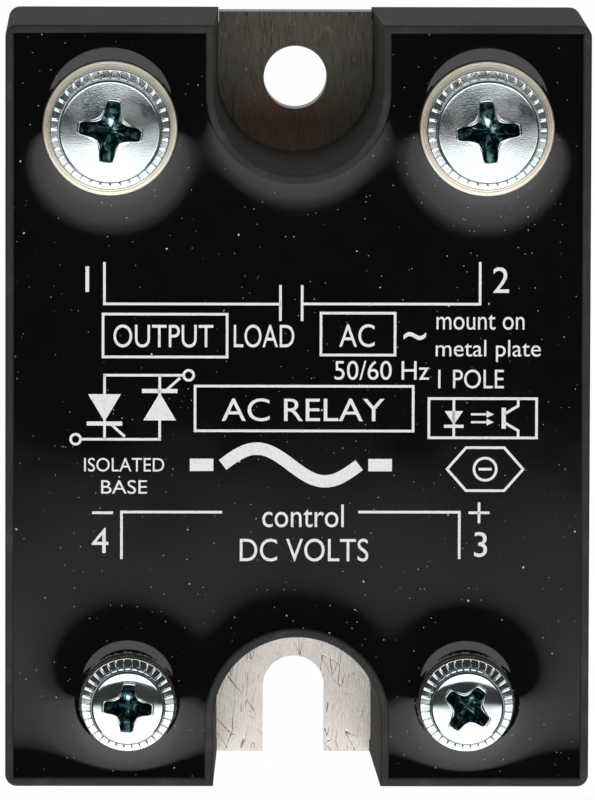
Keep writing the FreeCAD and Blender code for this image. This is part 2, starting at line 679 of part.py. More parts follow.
def make_board_blank():
    body = new_body("board_blank")
    outline = rectangle_sketch(body, "Outline", "board_width", "board_high_y - board_low_y",
                               y="(board_high_y + board_low_y) / 2", z="board_bottom")
    pad(body, outline, "board_thickness")
    notch = recess_sketch(body, "Notch", "board_notch_radius", "recess_centre",
                          "case_length / 2 + overshoot", z="board_bottom", turned=180)
    pocket(body, notch, "board_thickness", upwards=True)
    return body


def make_axial(name, kind, x, y):
    """A round component lying along X, with a lead bent down into the board at each end."""
    radius = f"{kind}_radius"
    axis_height = f"{SEAT} + {radius}"
    start = f"{x} - {kind}_length / 2"
    pieces = [rod(f"{name}_core", radius, f"{kind}_length", (start, y, axis_height), X_AXIS)]
    wire_start = f"{x} - {kind}_span"
    wire = rod(f"{name}_wire", "wire_radius", f"2 * {kind}_span", (wire_start, y, axis_height), X_AXIS)
    pieces.append(wire)
    for end in ("-1", "1"):
        leg_x = f"{x} + {end} * {kind}_span"
        top = f"{axis_height} + lead_radius"
        pieces.append(make_pin(f"{name}_leg", "lead_radius", leg_x, y, PIN_BOTTOM, top))
    return join(name, pieces)


def make_axial_pair(name, kind, prefix):
    """Two equal components side by side."""
    pair = []
    for end in ("-1", "1"):
        y = f"{prefix}_y + {end} * resistor_spacing / 2"
        pair.append(make_axial(f"{name}_piece", kind, f"{prefix}_x", y))
    return group(name, pair)


def make_two_leg(name, core, x, y, span):
    """A standing component whose two leads drop straight into the board."""
    top = f"{SEAT} + lead_radius"
    legs = [make_pin(f"{name}_leg", "lead_radius", f"{x} + {end} * {span}", y, PIN_BOTTOM, top)
            for end in ("-1", "1")]
    return join(name, [core, *legs])


def make_capacitor():
    size = ("capacitor_length", "capacitor_width", "capacitor_height")
    core = box("CapacitorCore", size, ("capacitor_x", "capacitor_y"), SEAT)
    return make_two_leg("snubber_capacitor", core, "capacitor_x", "capacitor_y", "capacitor_span")


def make_varistor():
    core = rod("VaristorCore", "varistor_radius", "varistor_thickness", ("varistor_x", "varistor_y", SEAT))
    return make_two_leg("varistor", core, "varistor_x", "varistor_y", "varistor_span")


def make_coupler():
    """The optocoupler's moulded body and its six leads, as two sub-parts."""
    size = ("coupler_length", "coupler_width", "coupler_height")
    body = box("optocoupler", size, ("coupler_x", "coupler_y"), SEAT)
    leads = []
    for row in ("-1", "1"):
        for place in ("-1", "0", "1"):
            x = f"coupler_x + {place} * coupler_pitch"
            y = f"coupler_y + {row} * coupler_row"
            drop = box("CouplerDrop", ("coupler_lead_width", "coupler_lead_thickness",
                                       f"coupler_lead_top - ({PIN_BOTTOM})"), (x, y), PIN_BOTTOM)
            inner = "coupler_row - coupler_width / 2"
            bridge = box("CouplerBridge", ("coupler_lead_width", inner, "coupler_lead_thickness"),
                         (x, f"coupler_y + {row} * (coupler_row + coupler_width / 2) / 2"),
                         "coupler_lead_top - coupler_lead_thickness")
            leads.append(join("CouplerLead", [drop, bridge]))
    return [body, group("optocoupler_leads", leads)]


def make_transistor():
    """A D-shaped body on three leads."""
    bottom = f"{BOARD_TOP} + transistor_rise"
    barrel = rod("TransistorBarrel", "transistor_radius", "transistor_height",
                 ("transistor_x", "transistor_y", bottom))
    depth = "transistor_radius + transistor_flat"
    keep_y = f"transistor_y - transistor_radius + ({depth}) / 2"
    keep = box("TransistorKeep", ("2 * transistor_radius", depth, "transistor_height"),
               ("transistor_x", keep_y), bottom)
    core = doc.addObject("Part::Common", "TransistorCore")
    core.Base = barrel
    core.Tool = keep
    leg_top = f"{bottom} + lead_radius"
    legs = [make_pin("TransistorLeg", "lead_radius", f"transistor_x + {place} * transistor_pitch",
                     "transistor_y", PIN_BOTTOM, leg_top) for place in ("-1", "0", "1")]
    return join("input_transistor", [core, *legs])


# ---------------------------------------------------------------- assembly

def check_and_write(parts):
    doc.recompute()
    for item in doc.Objects:
        if "Invalid" in item.State or "Error" in item.State:
            raise RuntimeError(f"{item.Label} failed: {item.State}")
    os.makedirs("parts", exist_ok=True)
    for part in parts:
        shape = part.Shape
        if shape.isNull() or not shape.isValid() or not shape.Solids:
            raise RuntimeError(f"{part.Label} has no valid solid")
    for part in parts:
        part.Shape.exportStep(f"parts/{part.Label}.step")
        print(f"{part.Label}: {len(part.Shape.Solids)} solid(s), {part.Shape.Volume:.2f} mm3")


def main():
    fill_sheet()
    case = make_case()
    plate = make_plate()
    seal = make_seal()
    substrate = make_substrate()
    load_pads = [make_load_pad(*side) for side in SIDES]
    gate_pads = make_gate_pads()
    dies = [make_die(*side) for side in SIDES]
    clips = [make_clip(*side) for side in SIDES]
    straps = [make_strap(*side) for side in SIDES]

    posts = [make_post(*terminal) for terminal in TERMINALS]
    teeth = {"load": 36, "control": 32}
    washers = [make_washer(*terminal, teeth[terminal[1]]) for terminal in TERMINALS]
    screws = [make_screw(*terminal) for terminal in TERMINALS]

    stub_top = f"{BOARD_TOP} + pin_stub"
    control_pins = [make_pin(f"control_pin_{number}", "control_pin_radius", x, y, PIN_BOTTOM, "post_bottom")
                    for number, kind, x, y in TERMINALS if kind == "control"]
    line_pins = group("line_pins", [
        make_pin("LinePin", "line_pin_radius", f"{side} * line_pin_x", "line_pin_y", PAD_TOP, stub_top)
        for _number, side in SIDES
    ])
    gate_pins = group("gate_pins", [
        make_pin("GatePin", "gate_pin_radius", f"{side} * gate_pad_x", "gate_pad_y", PAD_TOP, stub_top)
        for _number, side in SIDES
    ])
    components = [
        *make_coupler(),
        make_axial("snubber_resistor", "snubber_resistor", "snubber_resistor_x", "snubber_resistor_y"),
        make_capacitor(),
        make_varistor(),
        make_axial_pair("gate_resistors", "resistor", "gate_resistor"),
        make_axial_pair("input_resistors", "resistor", "input_resistor"),
        make_axial("input_diode", "diode", "diode_x", "diode_y"),
        make_transistor(),
    ]
    pins = [*control_pins, line_pins, gate_pins]
    board = cut("driver_board", make_board_blank(), [*pins, *components])

    power_stage = [*substrate, *load_pads, gate_pads, *dies, *clips, make_gate_ribbons(), *straps]
    gel_low = filling_blank("GelLow", "plate_thickness", "ledge_top", "skirt + ledge_width")
    gel_high = filling_blank("GelHigh", "ledge_top", "gel_top", "wall")
    gel = cut("gel_fill", join("GelBlank", [gel_low, gel_high]), [*power_stage, line_pins, gate_pins])
    epoxy_blank = filling_blank("EpoxyBlank", "gel_top", "epoxy_top", "wall")
    bores = [make_bore_room(*terminal) for terminal in TERMINALS]
    epoxy = cut("epoxy_fill", epoxy_blank, [*straps, *posts, *bores, *pins, *components, board])

    check_and_write([
        case, plate, seal, *power_stage, *posts, *washers, *screws, *pins, board, *components, gel, epoxy,
    ])


main()
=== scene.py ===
import json
import math

import bmesh
import bpy
import numpy as np
from mathutils import Matrix, Quaternion, Vector
from mathutils.geometry import delaunay_2d_cdt

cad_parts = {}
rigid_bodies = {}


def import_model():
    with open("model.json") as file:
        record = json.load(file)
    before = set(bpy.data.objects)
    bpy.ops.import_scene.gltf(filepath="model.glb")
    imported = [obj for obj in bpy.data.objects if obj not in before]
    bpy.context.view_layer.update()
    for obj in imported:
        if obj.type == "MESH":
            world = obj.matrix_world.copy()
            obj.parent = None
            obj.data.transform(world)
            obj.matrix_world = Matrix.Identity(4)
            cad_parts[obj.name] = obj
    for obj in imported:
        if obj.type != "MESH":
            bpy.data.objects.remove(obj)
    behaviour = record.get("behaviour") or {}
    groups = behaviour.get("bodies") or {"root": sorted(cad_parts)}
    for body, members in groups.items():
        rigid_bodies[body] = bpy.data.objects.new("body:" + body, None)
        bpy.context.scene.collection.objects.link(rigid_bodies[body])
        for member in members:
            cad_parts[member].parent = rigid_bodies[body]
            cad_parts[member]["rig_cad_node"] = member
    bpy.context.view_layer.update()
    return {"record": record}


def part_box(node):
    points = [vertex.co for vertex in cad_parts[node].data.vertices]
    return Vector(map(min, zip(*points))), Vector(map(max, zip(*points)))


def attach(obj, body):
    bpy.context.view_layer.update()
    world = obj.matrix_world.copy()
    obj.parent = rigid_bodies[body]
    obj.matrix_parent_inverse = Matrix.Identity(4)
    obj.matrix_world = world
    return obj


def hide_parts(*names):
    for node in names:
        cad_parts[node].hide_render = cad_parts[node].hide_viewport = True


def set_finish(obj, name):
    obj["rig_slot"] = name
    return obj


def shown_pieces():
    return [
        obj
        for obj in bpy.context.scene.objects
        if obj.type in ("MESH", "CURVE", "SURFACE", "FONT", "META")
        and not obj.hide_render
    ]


# Looks of a panel-mount solid state relay. Lengths are millimetres until a mesh is made, then metres.
# The load terminals (1 and 2) are at +Y, the control terminals (3 and 4) at -Y, and the resin faces +Z.

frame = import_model()
MM = 0.001


# ---------------- sizes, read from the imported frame

def node_box(node):
    """A CAD node's lowest and highest corner in millimetres."""
    low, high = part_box(node)
    return low / MM, high / MM


CASE_HIGH = node_box("case_shell")[1]
EPOXY_LOW, EPOXY_HIGH = node_box("epoxy_fill")

RECESS_CENTRE = 24.05       # Y of the arc centre of each end recess
RECESS_WALL_RADIUS = 7.05   # half width over the wall around a recess
WALL = 0.65                 # thickness of the case wall
BORE_RADIUS = {"load": 2.05, "control": 1.55}


class Terminal:
    """Sizes of one terminal, from its CAD nodes, and of the details that only the looks have."""

    def __init__(self, kind, number):
        self.kind = kind
        self.number = number
        self.post_node = f"{kind}_post_{number}"
        self.washer_node = f"{kind}_washer_{number}"
        self.screw_node = f"{kind}_screw_{number}"
        post_low, post_high = node_box(self.post_node)
        washer_low, washer_high = node_box(self.washer_node)
        screw_low, screw_high = node_box(self.screw_node)
        self.x = (post_low.x + post_high.x) / 2
        self.y = (post_low.y + post_high.y) / 2
        self.place = (self.x, self.y, 0.0)
        self.post_bottom = post_low.z
        self.seat = post_high.z
        self.post_radius = (post_high.x - post_low.x) / 2
        self.washer_radius = (washer_high.x - washer_low.x) / 2
        self.head_seat = washer_high.z
        self.screw_tip = screw_low.z
        self.head_top = screw_high.z
        self.head_radius = (screw_high.x - screw_low.x) / 2
        self.post_bore = BORE_RADIUS[kind]


NUMBERS = (("load", 1), ("load", 2), ("control", 3), ("control", 4))
TERMINALS = [Terminal(kind, number) for kind, number in NUMBERS]

# A screw's thread, crown and cross recess. The crown's slope grows with the distance from the middle,
# to the power of steepening - 1. A wing is one arm of the recess, and core is the flare between two arms.
SCREW_LOOKS = {
    "load": {
        "pitch": 0.7, "major": 1.98, "minor": 1.55, "crown": 0.42, "steepening": 1.35, "rim": 0.30,
        "core": 1.00, "wing": 2.30, "half_wing": 0.50, "floor_wing": 1.20, "floor_half_wing": 0.34,
        "depth": 1.65,
    },
    "control": {
        "pitch": 0.5, "major": 1.48, "minor": 1.17, "crown": 0.36, "steepening": 3.0, "rim": 0.26,
        "core": 0.88, "wing": 1.78, "half_wing": 0.43, "floor_wing": 1.05, "floor_half_wing": 0.30,
        "depth": 1.45,
    },
}
SCREW_TURN = {1: -7.5, 2: 4.5, 3: -36.0, 4: -3.0}   # how each cross recess is turned, in degrees
# bevel is the serrated bevel's width, edge its height over the seat at the rim, ridge a serration's height
WASHER_LOOKS = {
    "load": {"bore": 2.08, "teeth": 36, "bevel": 0.56, "edge": 1.055, "ridge": 0.08},
    "control": {"bore": 1.58, "teeth": 34, "bevel": 0.68, "edge": 0.845, "ridge": 0.10},
}
POINTS_PER_TOOTH = 16
RIDGE_POWER = 40        # a higher power makes the serrations' ridges narrower
BURRED_LIP = ((0.16, 0.010), (0.12, 0.030), (0.08, 0.040), (0.04, 0.030), (0.02, 0.010))    # (gap, height)
POST_GROOVE = ((0.0, 20.5), (0.8, 20.3), (0.8, 18.3), (0.0, 18.1))                          # (depth, height)
COLUMNS = 144           # points around a turned piece


# ---------------- meshes

def put(name, data):
    """A new object in the scene."""
    made = bpy.data.objects.new(name, data)
    bpy.context.scene.collection.objects.link(made)
    return made


def make_object(name, vertices, faces, body, slot, node, place=(0.0, 0.0, 0.0)):
    """An object from millimetre vertices, riding on a CAD body and standing for a CAD node."""
    mesh = bpy.data.meshes.new(name)
    mesh.from_pydata([Vector(vertex) * MM for vertex in vertices], [], faces)
    mesh.polygons.foreach_set("use_smooth", [True] * len(mesh.polygons))
    piece = put(name, mesh)
    piece.location = Vector(place) * MM
    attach(piece, body)
    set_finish(piece, slot)
    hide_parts(node)
    return piece


def sharpen(piece, degrees):
    """Shades the piece smooth, but keeps edges sharper than the angle."""
    piece.data.set_sharp_from_angle(angle=math.radians(degrees))


def full_turn(count):
    """Angles evenly round a circle."""
    return [2 * math.pi * k / count for k in range(count)]


def rings_to_mesh(rings, looped):
    """Joins rings of equally many points. The last one meets the first, or a fan closes each end."""
    count = len(rings[0])
    vertices = [point for ring in rings for point in ring]
    faces = []
    for level in range(len(rings) if looped else len(rings) - 1):
        here, above = level * count, (level + 1) % len(rings) * count
        for k in range(count):
            following = (k + 1) % count
            faces.append((here + k, here + following, above + following, above + k))
    if looped:
        return vertices, faces
    for level, turned in ((0, True), (len(rings) - 1, False)):
        middle = sum((Vector(point) for point in rings[level]), Vector()) / count
        vertices.append(tuple(middle))
        for k in range(count):
            pair = (level * count + k, level * count + (k + 1) % count)
            faces.append((*(reversed(pair) if turned else pair), len(vertices) - 1))
    return vertices, faces


def arc(centre_r, centre_z, radius, start, end, steps=6):
    """Points of an arc in a turned profile, angles in degrees."""
    turns = [math.radians(start + (end - start) * k / steps) for k in range(steps + 1)]
    return [(centre_r + radius * math.cos(turn), centre_z + radius * math.sin(turn)) for turn in turns]


def outward(piece):
    """Turns every face of a closed piece outward."""
    shape = bmesh.new()
    shape.from_mesh(piece.data)
    bmesh.ops.recalc_face_normals(shape, faces=shape.faces)
    shape.to_mesh(piece.data)
    shape.free()


# ---------------- resin

RESIN_LEVEL = EPOXY_HIGH.z      # flat part of the resin
# how far the meniscus climbs, and how quickly it dies away
RESIN_MENISCUS = {
    "side": (0.04, 1.13), "load_end": (0.01, 1.13), "control_end": (0.20, 1.13), "recess": (0.14, 1.13),
    "load": (0.37, 1.08), "control": (0.52, 1.0),
}
RESIN_OVERLAP = 0.02            # the resin reaches this far into walls and posts, so that no gap shows
RESIN_EDGE_STEP = 0.16          # spacing of the mesh at walls and posts
RESIN_BANDS = ((0.9, 0.16), (2.2, 0.3), (4.5, 0.6), (99.0, 1.2))    # (distance from a wall, mesh spacing)
WAVE_HEIGHT = 0.003
WAVE_LENGTH = 12.0
CAVITY_X = CASE_HIGH.x - WALL + RESIN_OVERLAP
CAVITY_Y = CASE_HIGH.y - WALL + RESIN_OVERLAP


def recess_distance(x, y, end):
    """Distance from the wall around the recess at the given end (1 load end, -1 control end)."""
    along = np.maximum(RECESS_CENTRE - y * end, 0.0)
    return np.hypot(x, along) - (RECESS_WALL_RADIUS - RESIN_OVERLAP)


def wall_distances(x, y):
    """Distances from every wall and post that the resin touches, each with the kind of its meniscus."""
    distances = [(CAVITY_X - x, "side"), (CAVITY_X + x, "side")]
    distances += [(CAVITY_Y - y, "load_end"), (CAVITY_Y + y, "control_end")]
    distances += [(recess_distance(x, y, end), "recess") for end in (1, -1)]
    for terminal in TERMINALS:
        reach = np.hypot(x - terminal.x, y - terminal.y)
        distances.append((reach - (terminal.post_radius - RESIN_OVERLAP), terminal.kind))
    return distances


def nearest_wall(x, y):
    """Distance from the nearest wall or post, negative inside it."""
    return np.min([distance for distance, _kind in wall_distances(x, y)], axis=0)


def resin_height(x, y):
    """Height of the resin: level, faintly wavy, and drawn up at every wall and post."""
    wave = np.sin(2 * np.pi * x / WAVE_LENGTH + 0.7) * np.sin(2 * np.pi * y / (1.3 * WAVE_LENGTH) + 0.4)
    height = RESIN_LEVEL + WAVE_HEIGHT * wave
    for distance, kind in wall_distances(x, y):
        climb, reach = RESIN_MENISCUS[kind]
        height = height + climb * np.exp(-np.maximum(distance, 0.0) / reach)
    return height


def resin_normals(x, y):
    """The surface's exact normals, so that reflections stay smooth between mesh points."""
    step = 0.01
    slope_x = (resin_height(x + step, y) - resin_height(x - step, y)) / (2 * step)
    slope_y = (resin_height(x, y + step) - resin_height(x, y - step)) / (2 * step)
    normals = np.stack([-slope_x, -slope_y, np.ones_like(x)], axis=1)
    return normals / np.linalg.norm(normals, axis=1, keepdims=True)


def stepped(corners, step):
    """Points along straight runs through the corners, up to but not including the last corner."""
    points = []
    for start, end in zip(corners, corners[1:]):
        count = max(1, round(math.dist(start, end) / step))
        points += [(start[0] + (end[0] - start[0]) * k / count, start[1] + (end[1] - start[1]) * k / count)
                   for k in range(count)]
    return points


def circle_points(x, y, radius, step, start=0.0, end=360.0):
    """Points of an arc, angles in degrees, up to but not including its end."""
    count = max(8, round(math.radians(abs(end - start)) * radius / step))
    turns = [math.radians(start + (end - start) * k / count) for k in range(count)]
    return [(x + radius * math.cos(turn), y + radius * math.sin(turn)) for turn in turns]


def resin_outline(step):
    """The resin's outer edge, anticlockwise: the control end with its bite, then the same turned round."""
    bite = RECESS_WALL_RADIUS - RESIN_OVERLAP
    half = stepped([(-CAVITY_X, -CAVITY_Y), (-bite, -CAVITY_Y), (-bite, -RECESS_CENTRE)], step)
    half += circle_points(0.0, -RECESS_CENTRE, bite, step, 180.0, 0.0)
    corners = [(bite, -RECESS_CENTRE), (bite, -CAVITY_Y), (CAVITY_X, -CAVITY_Y), (CAVITY_X, CAVITY_Y)]
    half += stepped(corners, step)
    return half + [(-x, -y) for x, y in half]


def graded_points():
    """Points over the resin's surface, close together near walls and posts."""
    chosen = []
    nearest = 0.0
    for reach, spacing in RESIN_BANDS:
        across = np.arange(-CAVITY_X, CAVITY_X, spacing)
        along = np.arange(-CAVITY_Y, CAVITY_Y, spacing * 0.87)
        x, y = np.meshgrid(across, along)
        x[::2] += spacing / 2
        distance = nearest_wall(x, y)
        kept = (distance > max(nearest, 0.55 * spacing)) & (distance <= reach)
        chosen += list(zip(x[kept], y[kept]))
        nearest = reach
    return chosen


def triangulate(loops, extra):
    """Triangles between closed loops, through the extra points."""
    points, edges = [], []
    for loop in loops:
        first = len(points)
        points += loop
        edges += [(first + k, first + (k + 1) % len(loop)) for k in range(len(loop))]
    points += extra
    found = delaunay_2d_cdt([Vector(point) for point in points], edges, [], 0, 1e-7, False)
    corners = np.array([tuple(point) for point in found[0]])
    triangles = np.array(found[2])
    middle = corners[triangles].mean(axis=1)
    inside = nearest_wall(middle[:, 0], middle[:, 1]) > 0
    return corners, [tuple(int(k) for k in triangle) for triangle in triangles[inside]]


def rim_edges(triangles):
    """Directed edges that only one triangle has."""
    directed = {(t[k], t[(k + 1) % 3]) for t in triangles for k in range(3)}
    return [edge for edge in directed if (edge[1], edge[0]) not in directed]


def make_resin():
    """The epoxy as one closed piece: the curved surface, a flat underside and the sides between them."""
    loops = [resin_outline(RESIN_EDGE_STEP)]
    for terminal in TERMINALS:
        radius = terminal.post_radius - RESIN_OVERLAP
        loops.append(circle_points(terminal.x, terminal.y, radius, RESIN_EDGE_STEP))
    top, top_faces = triangulate(loops, graded_points())
    bottom, bottom_faces = triangulate(loops, [])
    x, y = top[:, 0], top[:, 1]
    vertices = list(zip(x, y, resin_height(x, y))) + [(px, py, EPOXY_LOW.z) for px, py in bottom]
    below = {(round(px, 4), round(py, 4)): len(top) + k for k, (px, py) in enumerate(bottom)}
    low = {k: below.get((round(x[k], 4), round(y[k], 4))) for edge in rim_edges(top_faces) for k in edge}
    faces = list(top_faces)
    faces += [tuple(len(top) + k for k in reversed(face)) for face in bottom_faces]
    faces += [(b, a, low[a], low[b]) for a, b in rim_edges(top_faces)]
    piece = make_object("resin", vertices, faces, "housing", "epoxy", "epoxy_fill")
    surface_normals = resin_normals(x, y)
    normals = []
    for face in piece.data.polygons:
        on_top = face.index < len(top_faces)
        normals += [surface_normals[k] if on_top else face.normal for k in face.vertices]
    piece.data.normals_split_custom_set(normals)


# ---------------- terminals

def make_post(terminal):
    """A turned post with a rounded seating face, a relief groove under it and a plain blind bore for the
    screw.
    """
    top, bottom, outer = terminal.seat, terminal.post_bottom, terminal.post_radius
    bore = terminal.post_bore
    edge = 0.16
    profile = [(bore, top - 0.3), (bore + 0.3, top)]
    profile += arc(outer - edge, top - edge, edge, 90, 0)
    profile += [(outer - depth, height) for depth, height in POST_GROOVE]
    profile += arc(outer - edge, bottom + edge, edge, 0, -90)
    profile += [(0.3, bottom), (0.3, terminal.screw_tip - 0.35), (bore, terminal.screw_tip - 0.3)]
    angles = full_turn(COLUMNS)
    rings = [[(r * math.cos(a), r * math.sin(a), z) for a in angles] for r, z in profile]
    vertices, faces = rings_to_mesh(rings, True)
    node = terminal.post_node
    piece = make_object(node + "_turned", vertices, faces, "housing", "post_metal", node, terminal.place)
    outward(piece)
    sharpen(piece, 35)


def make_washer(terminal):
    """A captive washer whose outer bevel carries a ring of radial serrations."""
    look = WASHER_LOOKS[terminal.kind]
    top, seat, outer = terminal.head_seat, terminal.seat, terminal.washer_radius
    columns = look["teeth"] * POINTS_PER_TOOTH
    inner_bevel = outer - look["bevel"]
    edge = seat + look["edge"]
    sections = [
        # radius, height, share of a ridge's height
        (look["bore"], seat + 0.02, 0.0), (look["bore"], top - 0.08, 0.0), (look["bore"] + 0.08, top, 0.0),
        (inner_bevel - 0.10, top, 0.0), (inner_bevel, top - 0.003, 0.0),
        (inner_bevel + 0.05, top - 0.01, 1.0),
        (outer - 0.12, edge + 0.01, 0.15), (outer - 0.07, edge, 0.05), (outer - 0.02, edge - 0.05, 0.0),
        (outer, edge - 0.16, 0.0), (outer, seat + 0.12, 0.0), (outer - 0.1, seat + 0.01, 0.0),
    ]
    rings = []
    for radius, height, share in sections:
        ring = []
        for k, turn in enumerate(full_turn(columns)):
            crest = abs(math.cos(math.pi * k / POINTS_PER_TOOTH)) ** RIDGE_POWER
            raised = height + look["ridge"] * share * crest
            ring.append((radius * math.cos(turn), radius * math.sin(turn), raised))
        rings.append(ring)
    vertices, faces = rings_to_mesh(rings, True)
    node = terminal.washer_node
    piece = make_object(node + "_serrated", vertices, faces, node, "zinc_steel", node, terminal.place)
    outward(piece)
    sharpen(piece, 50)


def star_radius(turn, core, half_wing, wing):
    """Distance from the middle to the edge of a four-winged cross recess, in the direction turn."""
    off = (turn + math.pi / 4) % (math.pi / 2) - math.pi / 4
    side = half_wing / max(abs(math.sin(off)), 1e-6)
    flare = (side ** 3 + core ** 3) ** (1 / 3)
    tip = wing / math.cos(off)
    return (flare ** -9 + tip ** -9) ** (-1 / 9)


def thread_radius(turn, height, look):
    """Radius of a right-handed thread at an angle and height: a V whose crest and root are flattened."""
    phase = (height / look["pitch"] - turn / (2 * math.pi)) % 1.0
    ridge = min(1.0, max(0.0, 1.6 * (1.0 - abs(2 * phase - 1.0)) - 0.25))
    return look["minor"] + (look["major"] - look["minor"]) * ridge


def make_screw(terminal):
    """A pan-head machine screw with a cross recess and a helical thread, as one closed mesh."""
    look = SCREW_LOOKS[terminal.kind]
    seat, head_top, radius = terminal.head_seat, terminal.head_top, terminal.head_radius
    turns = full_turn(COLUMNS)
    rings = []

    def add_ring(distance, height):
        """One ring; distance and height are functions of the angle."""
        rings.append([(distance(t) * math.cos(t), distance(t) * math.sin(t), height(t)) for t in turns])

    def star(share):
        """Outline of the cross between the mouth (share 0) and the floor (share 1)."""
        half = look["half_wing"] + (look["floor_half_wing"] - look["half_wing"]) * share
        wing = look["wing"] + (look["floor_wing"] - look["wing"]) * share
        core = look["core"] * (1 - 0.4 * share)
        return lambda t: star_radius(t, core, half, wing)

    def thread(height, fade):
        """Outline of the thread at a height, fading in from a round tip."""
        start = look["minor"] * 0.98
        return lambda t: start + fade * (thread_radius(t, height, look) - start)

    tip = terminal.screw_tip
    for share in (0.25, 0.6, 1.0):
        add_ring(lambda t, s=share: look["minor"] * s * 0.95, lambda t: tip)
    steps_per_turn = 8
    level_height = look["pitch"] / steps_per_turn
    levels = round((seat - 0.35 - tip - 0.15) / level_height)
    for level in range(levels):
        height = tip + 0.15 + level * level_height
        add_ring(thread(height, min(1.0, level / steps_per_turn)), lambda t, h=height: h)
    add_ring(lambda t: look["minor"], lambda t: seat - 0.22)
    add_ring(lambda t: look["minor"] + 0.12, lambda t: seat - 0.02)
    for distance, height in [(radius - 0.35, seat)] + arc(radius - 0.14, seat + 0.14, 0.14, -80, 0, 4):
        add_ring(lambda t, r=distance: r, lambda t, h=height: h)

    rim = look["rim"]
    shoulder = radius - rim

    def dome_height(distance):
        """A crown that steepens towards a rounded rim."""
        over = min(1.0, max(0.0, (distance - shoulder) / rim))
        crown = look["crown"] * (distance / radius) ** look["steepening"]
        return head_top - crown - rim * (1.0 - math.sqrt(1.0 - over * over))

    mouth = star(0.0)
    for step in range(9):
        distance = shoulder + rim * math.cos(math.pi / 2 * step / 8)
        add_ring(lambda t, r=distance: r, lambda t, r=distance: dome_height(r))
    steps = 22
    for step in range(1, steps + 1):
        share = step / steps
        distance = (lambda t, s=share: shoulder * (1 - s) + (mouth(t) + 0.20) * s)
        add_ring(distance, lambda t, d=distance: dome_height(d(t)))
    for gap, burr in BURRED_LIP:
        add_ring(lambda t, g=gap: mouth(t) + g, lambda t, b=burr: dome_height(mouth(t)) + b)
    floor = head_top - look["depth"]
    lip = len(rings)
    add_ring(lambda t: mouth(t) + 0.01, lambda t: dome_height(mouth(t)) - 0.03)
    for share in (0.05, 0.35, 0.7, 1.0):
        wall = star(share)
        add_ring(wall, lambda t, s=share: (dome_height(mouth(t)) - 0.06) * (1 - s) + floor * s)
    inner = star(1.0)
    for share, drop in ((0.7, 0.12), (0.35, 0.3)):
        add_ring(lambda t, s=share: inner(t) * s, lambda t, d=drop: floor - d)
    vertices, faces = rings_to_mesh(rings, False)
    spin = Matrix.Rotation(math.radians(SCREW_TURN[terminal.number]), 3, "Z")
    vertices = [tuple(spin @ Vector(vertex)) for vertex in vertices]
    node = terminal.screw_node
    piece = make_object(node + "_threaded", vertices, faces, node, "zinc_steel", node, terminal.place)
    # the recess's own faces take the second material, the zinc darkened with painted shade
    walls = range(lip * COLUMNS, (len(rings) - 1) * COLUMNS)
    for face in piece.data.polygons:
        face.material_index = int(face.index in walls or face.index >= len(faces) - COLUMNS)
    outward(piece)
    sharpen(piece, 42)


# ---------------- legend

INK_LOW = RESIN_LEVEL - 0.05
INK_HIGH = RESIN_LEVEL + 0.025
LINE = 0.2                      # width of a printed line

WORDS = (
    # text, centre x, centre y, width (None keeps the letters' own width), height
    ("1", -16.02, 9.69, None, 1.95),
    ("2", 15.45, 9.67, None, 1.95),
    ("3", 13.98, -10.58, None, 1.92),
    ("4", -15.03, -10.31, None, 1.92),
    ("OUTPUT", -10.23, 5.35, 7.6, 1.75),
    ("LOAD", -2.57, 5.36, 4.6, 1.75),
    ("AC", 4.5, 5.40, 2.7, 1.75),
    ("~", 8.9, 5.38, 1.7, 0.62),
    ("mount on", 13.9, 6.45, 6.7, 1.17),
    ("metal plate", 14.5, 4.25, 8.0, 1.68),
    ("50/60 Hz", 6.4, 2.75, 7.2, 1.45),
    ("1 POLE", 13.2, 2.10, 5.0, 1.45),
    ("AC RELAY", 0.42, -0.28, 12.4, 1.75),
    ("ISOLATED", -13.2, -4.50, 6.1, 1.05),
    ("BASE", -13.2, -6.20, 3.5, 1.05),
    ("control", 0.44, -8.40, 6.2, 1.75),
    ("DC VOLTS", 0.52, -11.02, 9.8, 1.75),
)
LINES = (
    # points in order, closed or not
    (((-14.72, 10.99), (-14.72, 7.80), (-1.30, 7.80)), False),
    (((0.31, 7.82), (13.86, 7.82), (13.86, 11.04)), False),
    (((-1.33, 9.26), (-1.33, 6.51)), False),
    (((0.32, 9.26), (0.32, 6.51)), False),
    (((-14.82, 3.75), (-5.38, 3.75), (-5.38, 7.02), (-14.82, 7.02)), True),
    (((1.76, 3.92), (7.40, 3.92), (7.40, 7.12), (1.76, 7.12)), True),
    (((-7.81, -1.89), (8.80, -1.89), (8.80, 1.53), (-7.81, 1.53)), True),
    (((-13.40, -11.73), (-13.40, -8.12), (-5.74, -8.12)), False),
    (((4.63, -8.10), (12.35, -8.10), (12.35, -11.69)), False),
    (((-15.64, -8.18), (-14.04, -8.18)), False),
    (((13.05, -8.14), (14.65, -8.14)), False),
    (((13.85, -8.94), (13.85, -7.34)), False),
)


def ring_points(x, y, radius, count=40):
    """A circle of points about (x, y)."""
    turns = full_turn(count)
    return tuple((x + radius * math.cos(turn), y + radius * math.sin(turn)) for turn in turns)


def wave_points(x, y, width, height, count=48):
    """One period of a sine wave about (x, y)."""
    shares = [k / count for k in range(count + 1)]
    return tuple((x + width * (s - 0.5), y + height / 2 * math.sin(2 * math.pi * s)) for s in shares)


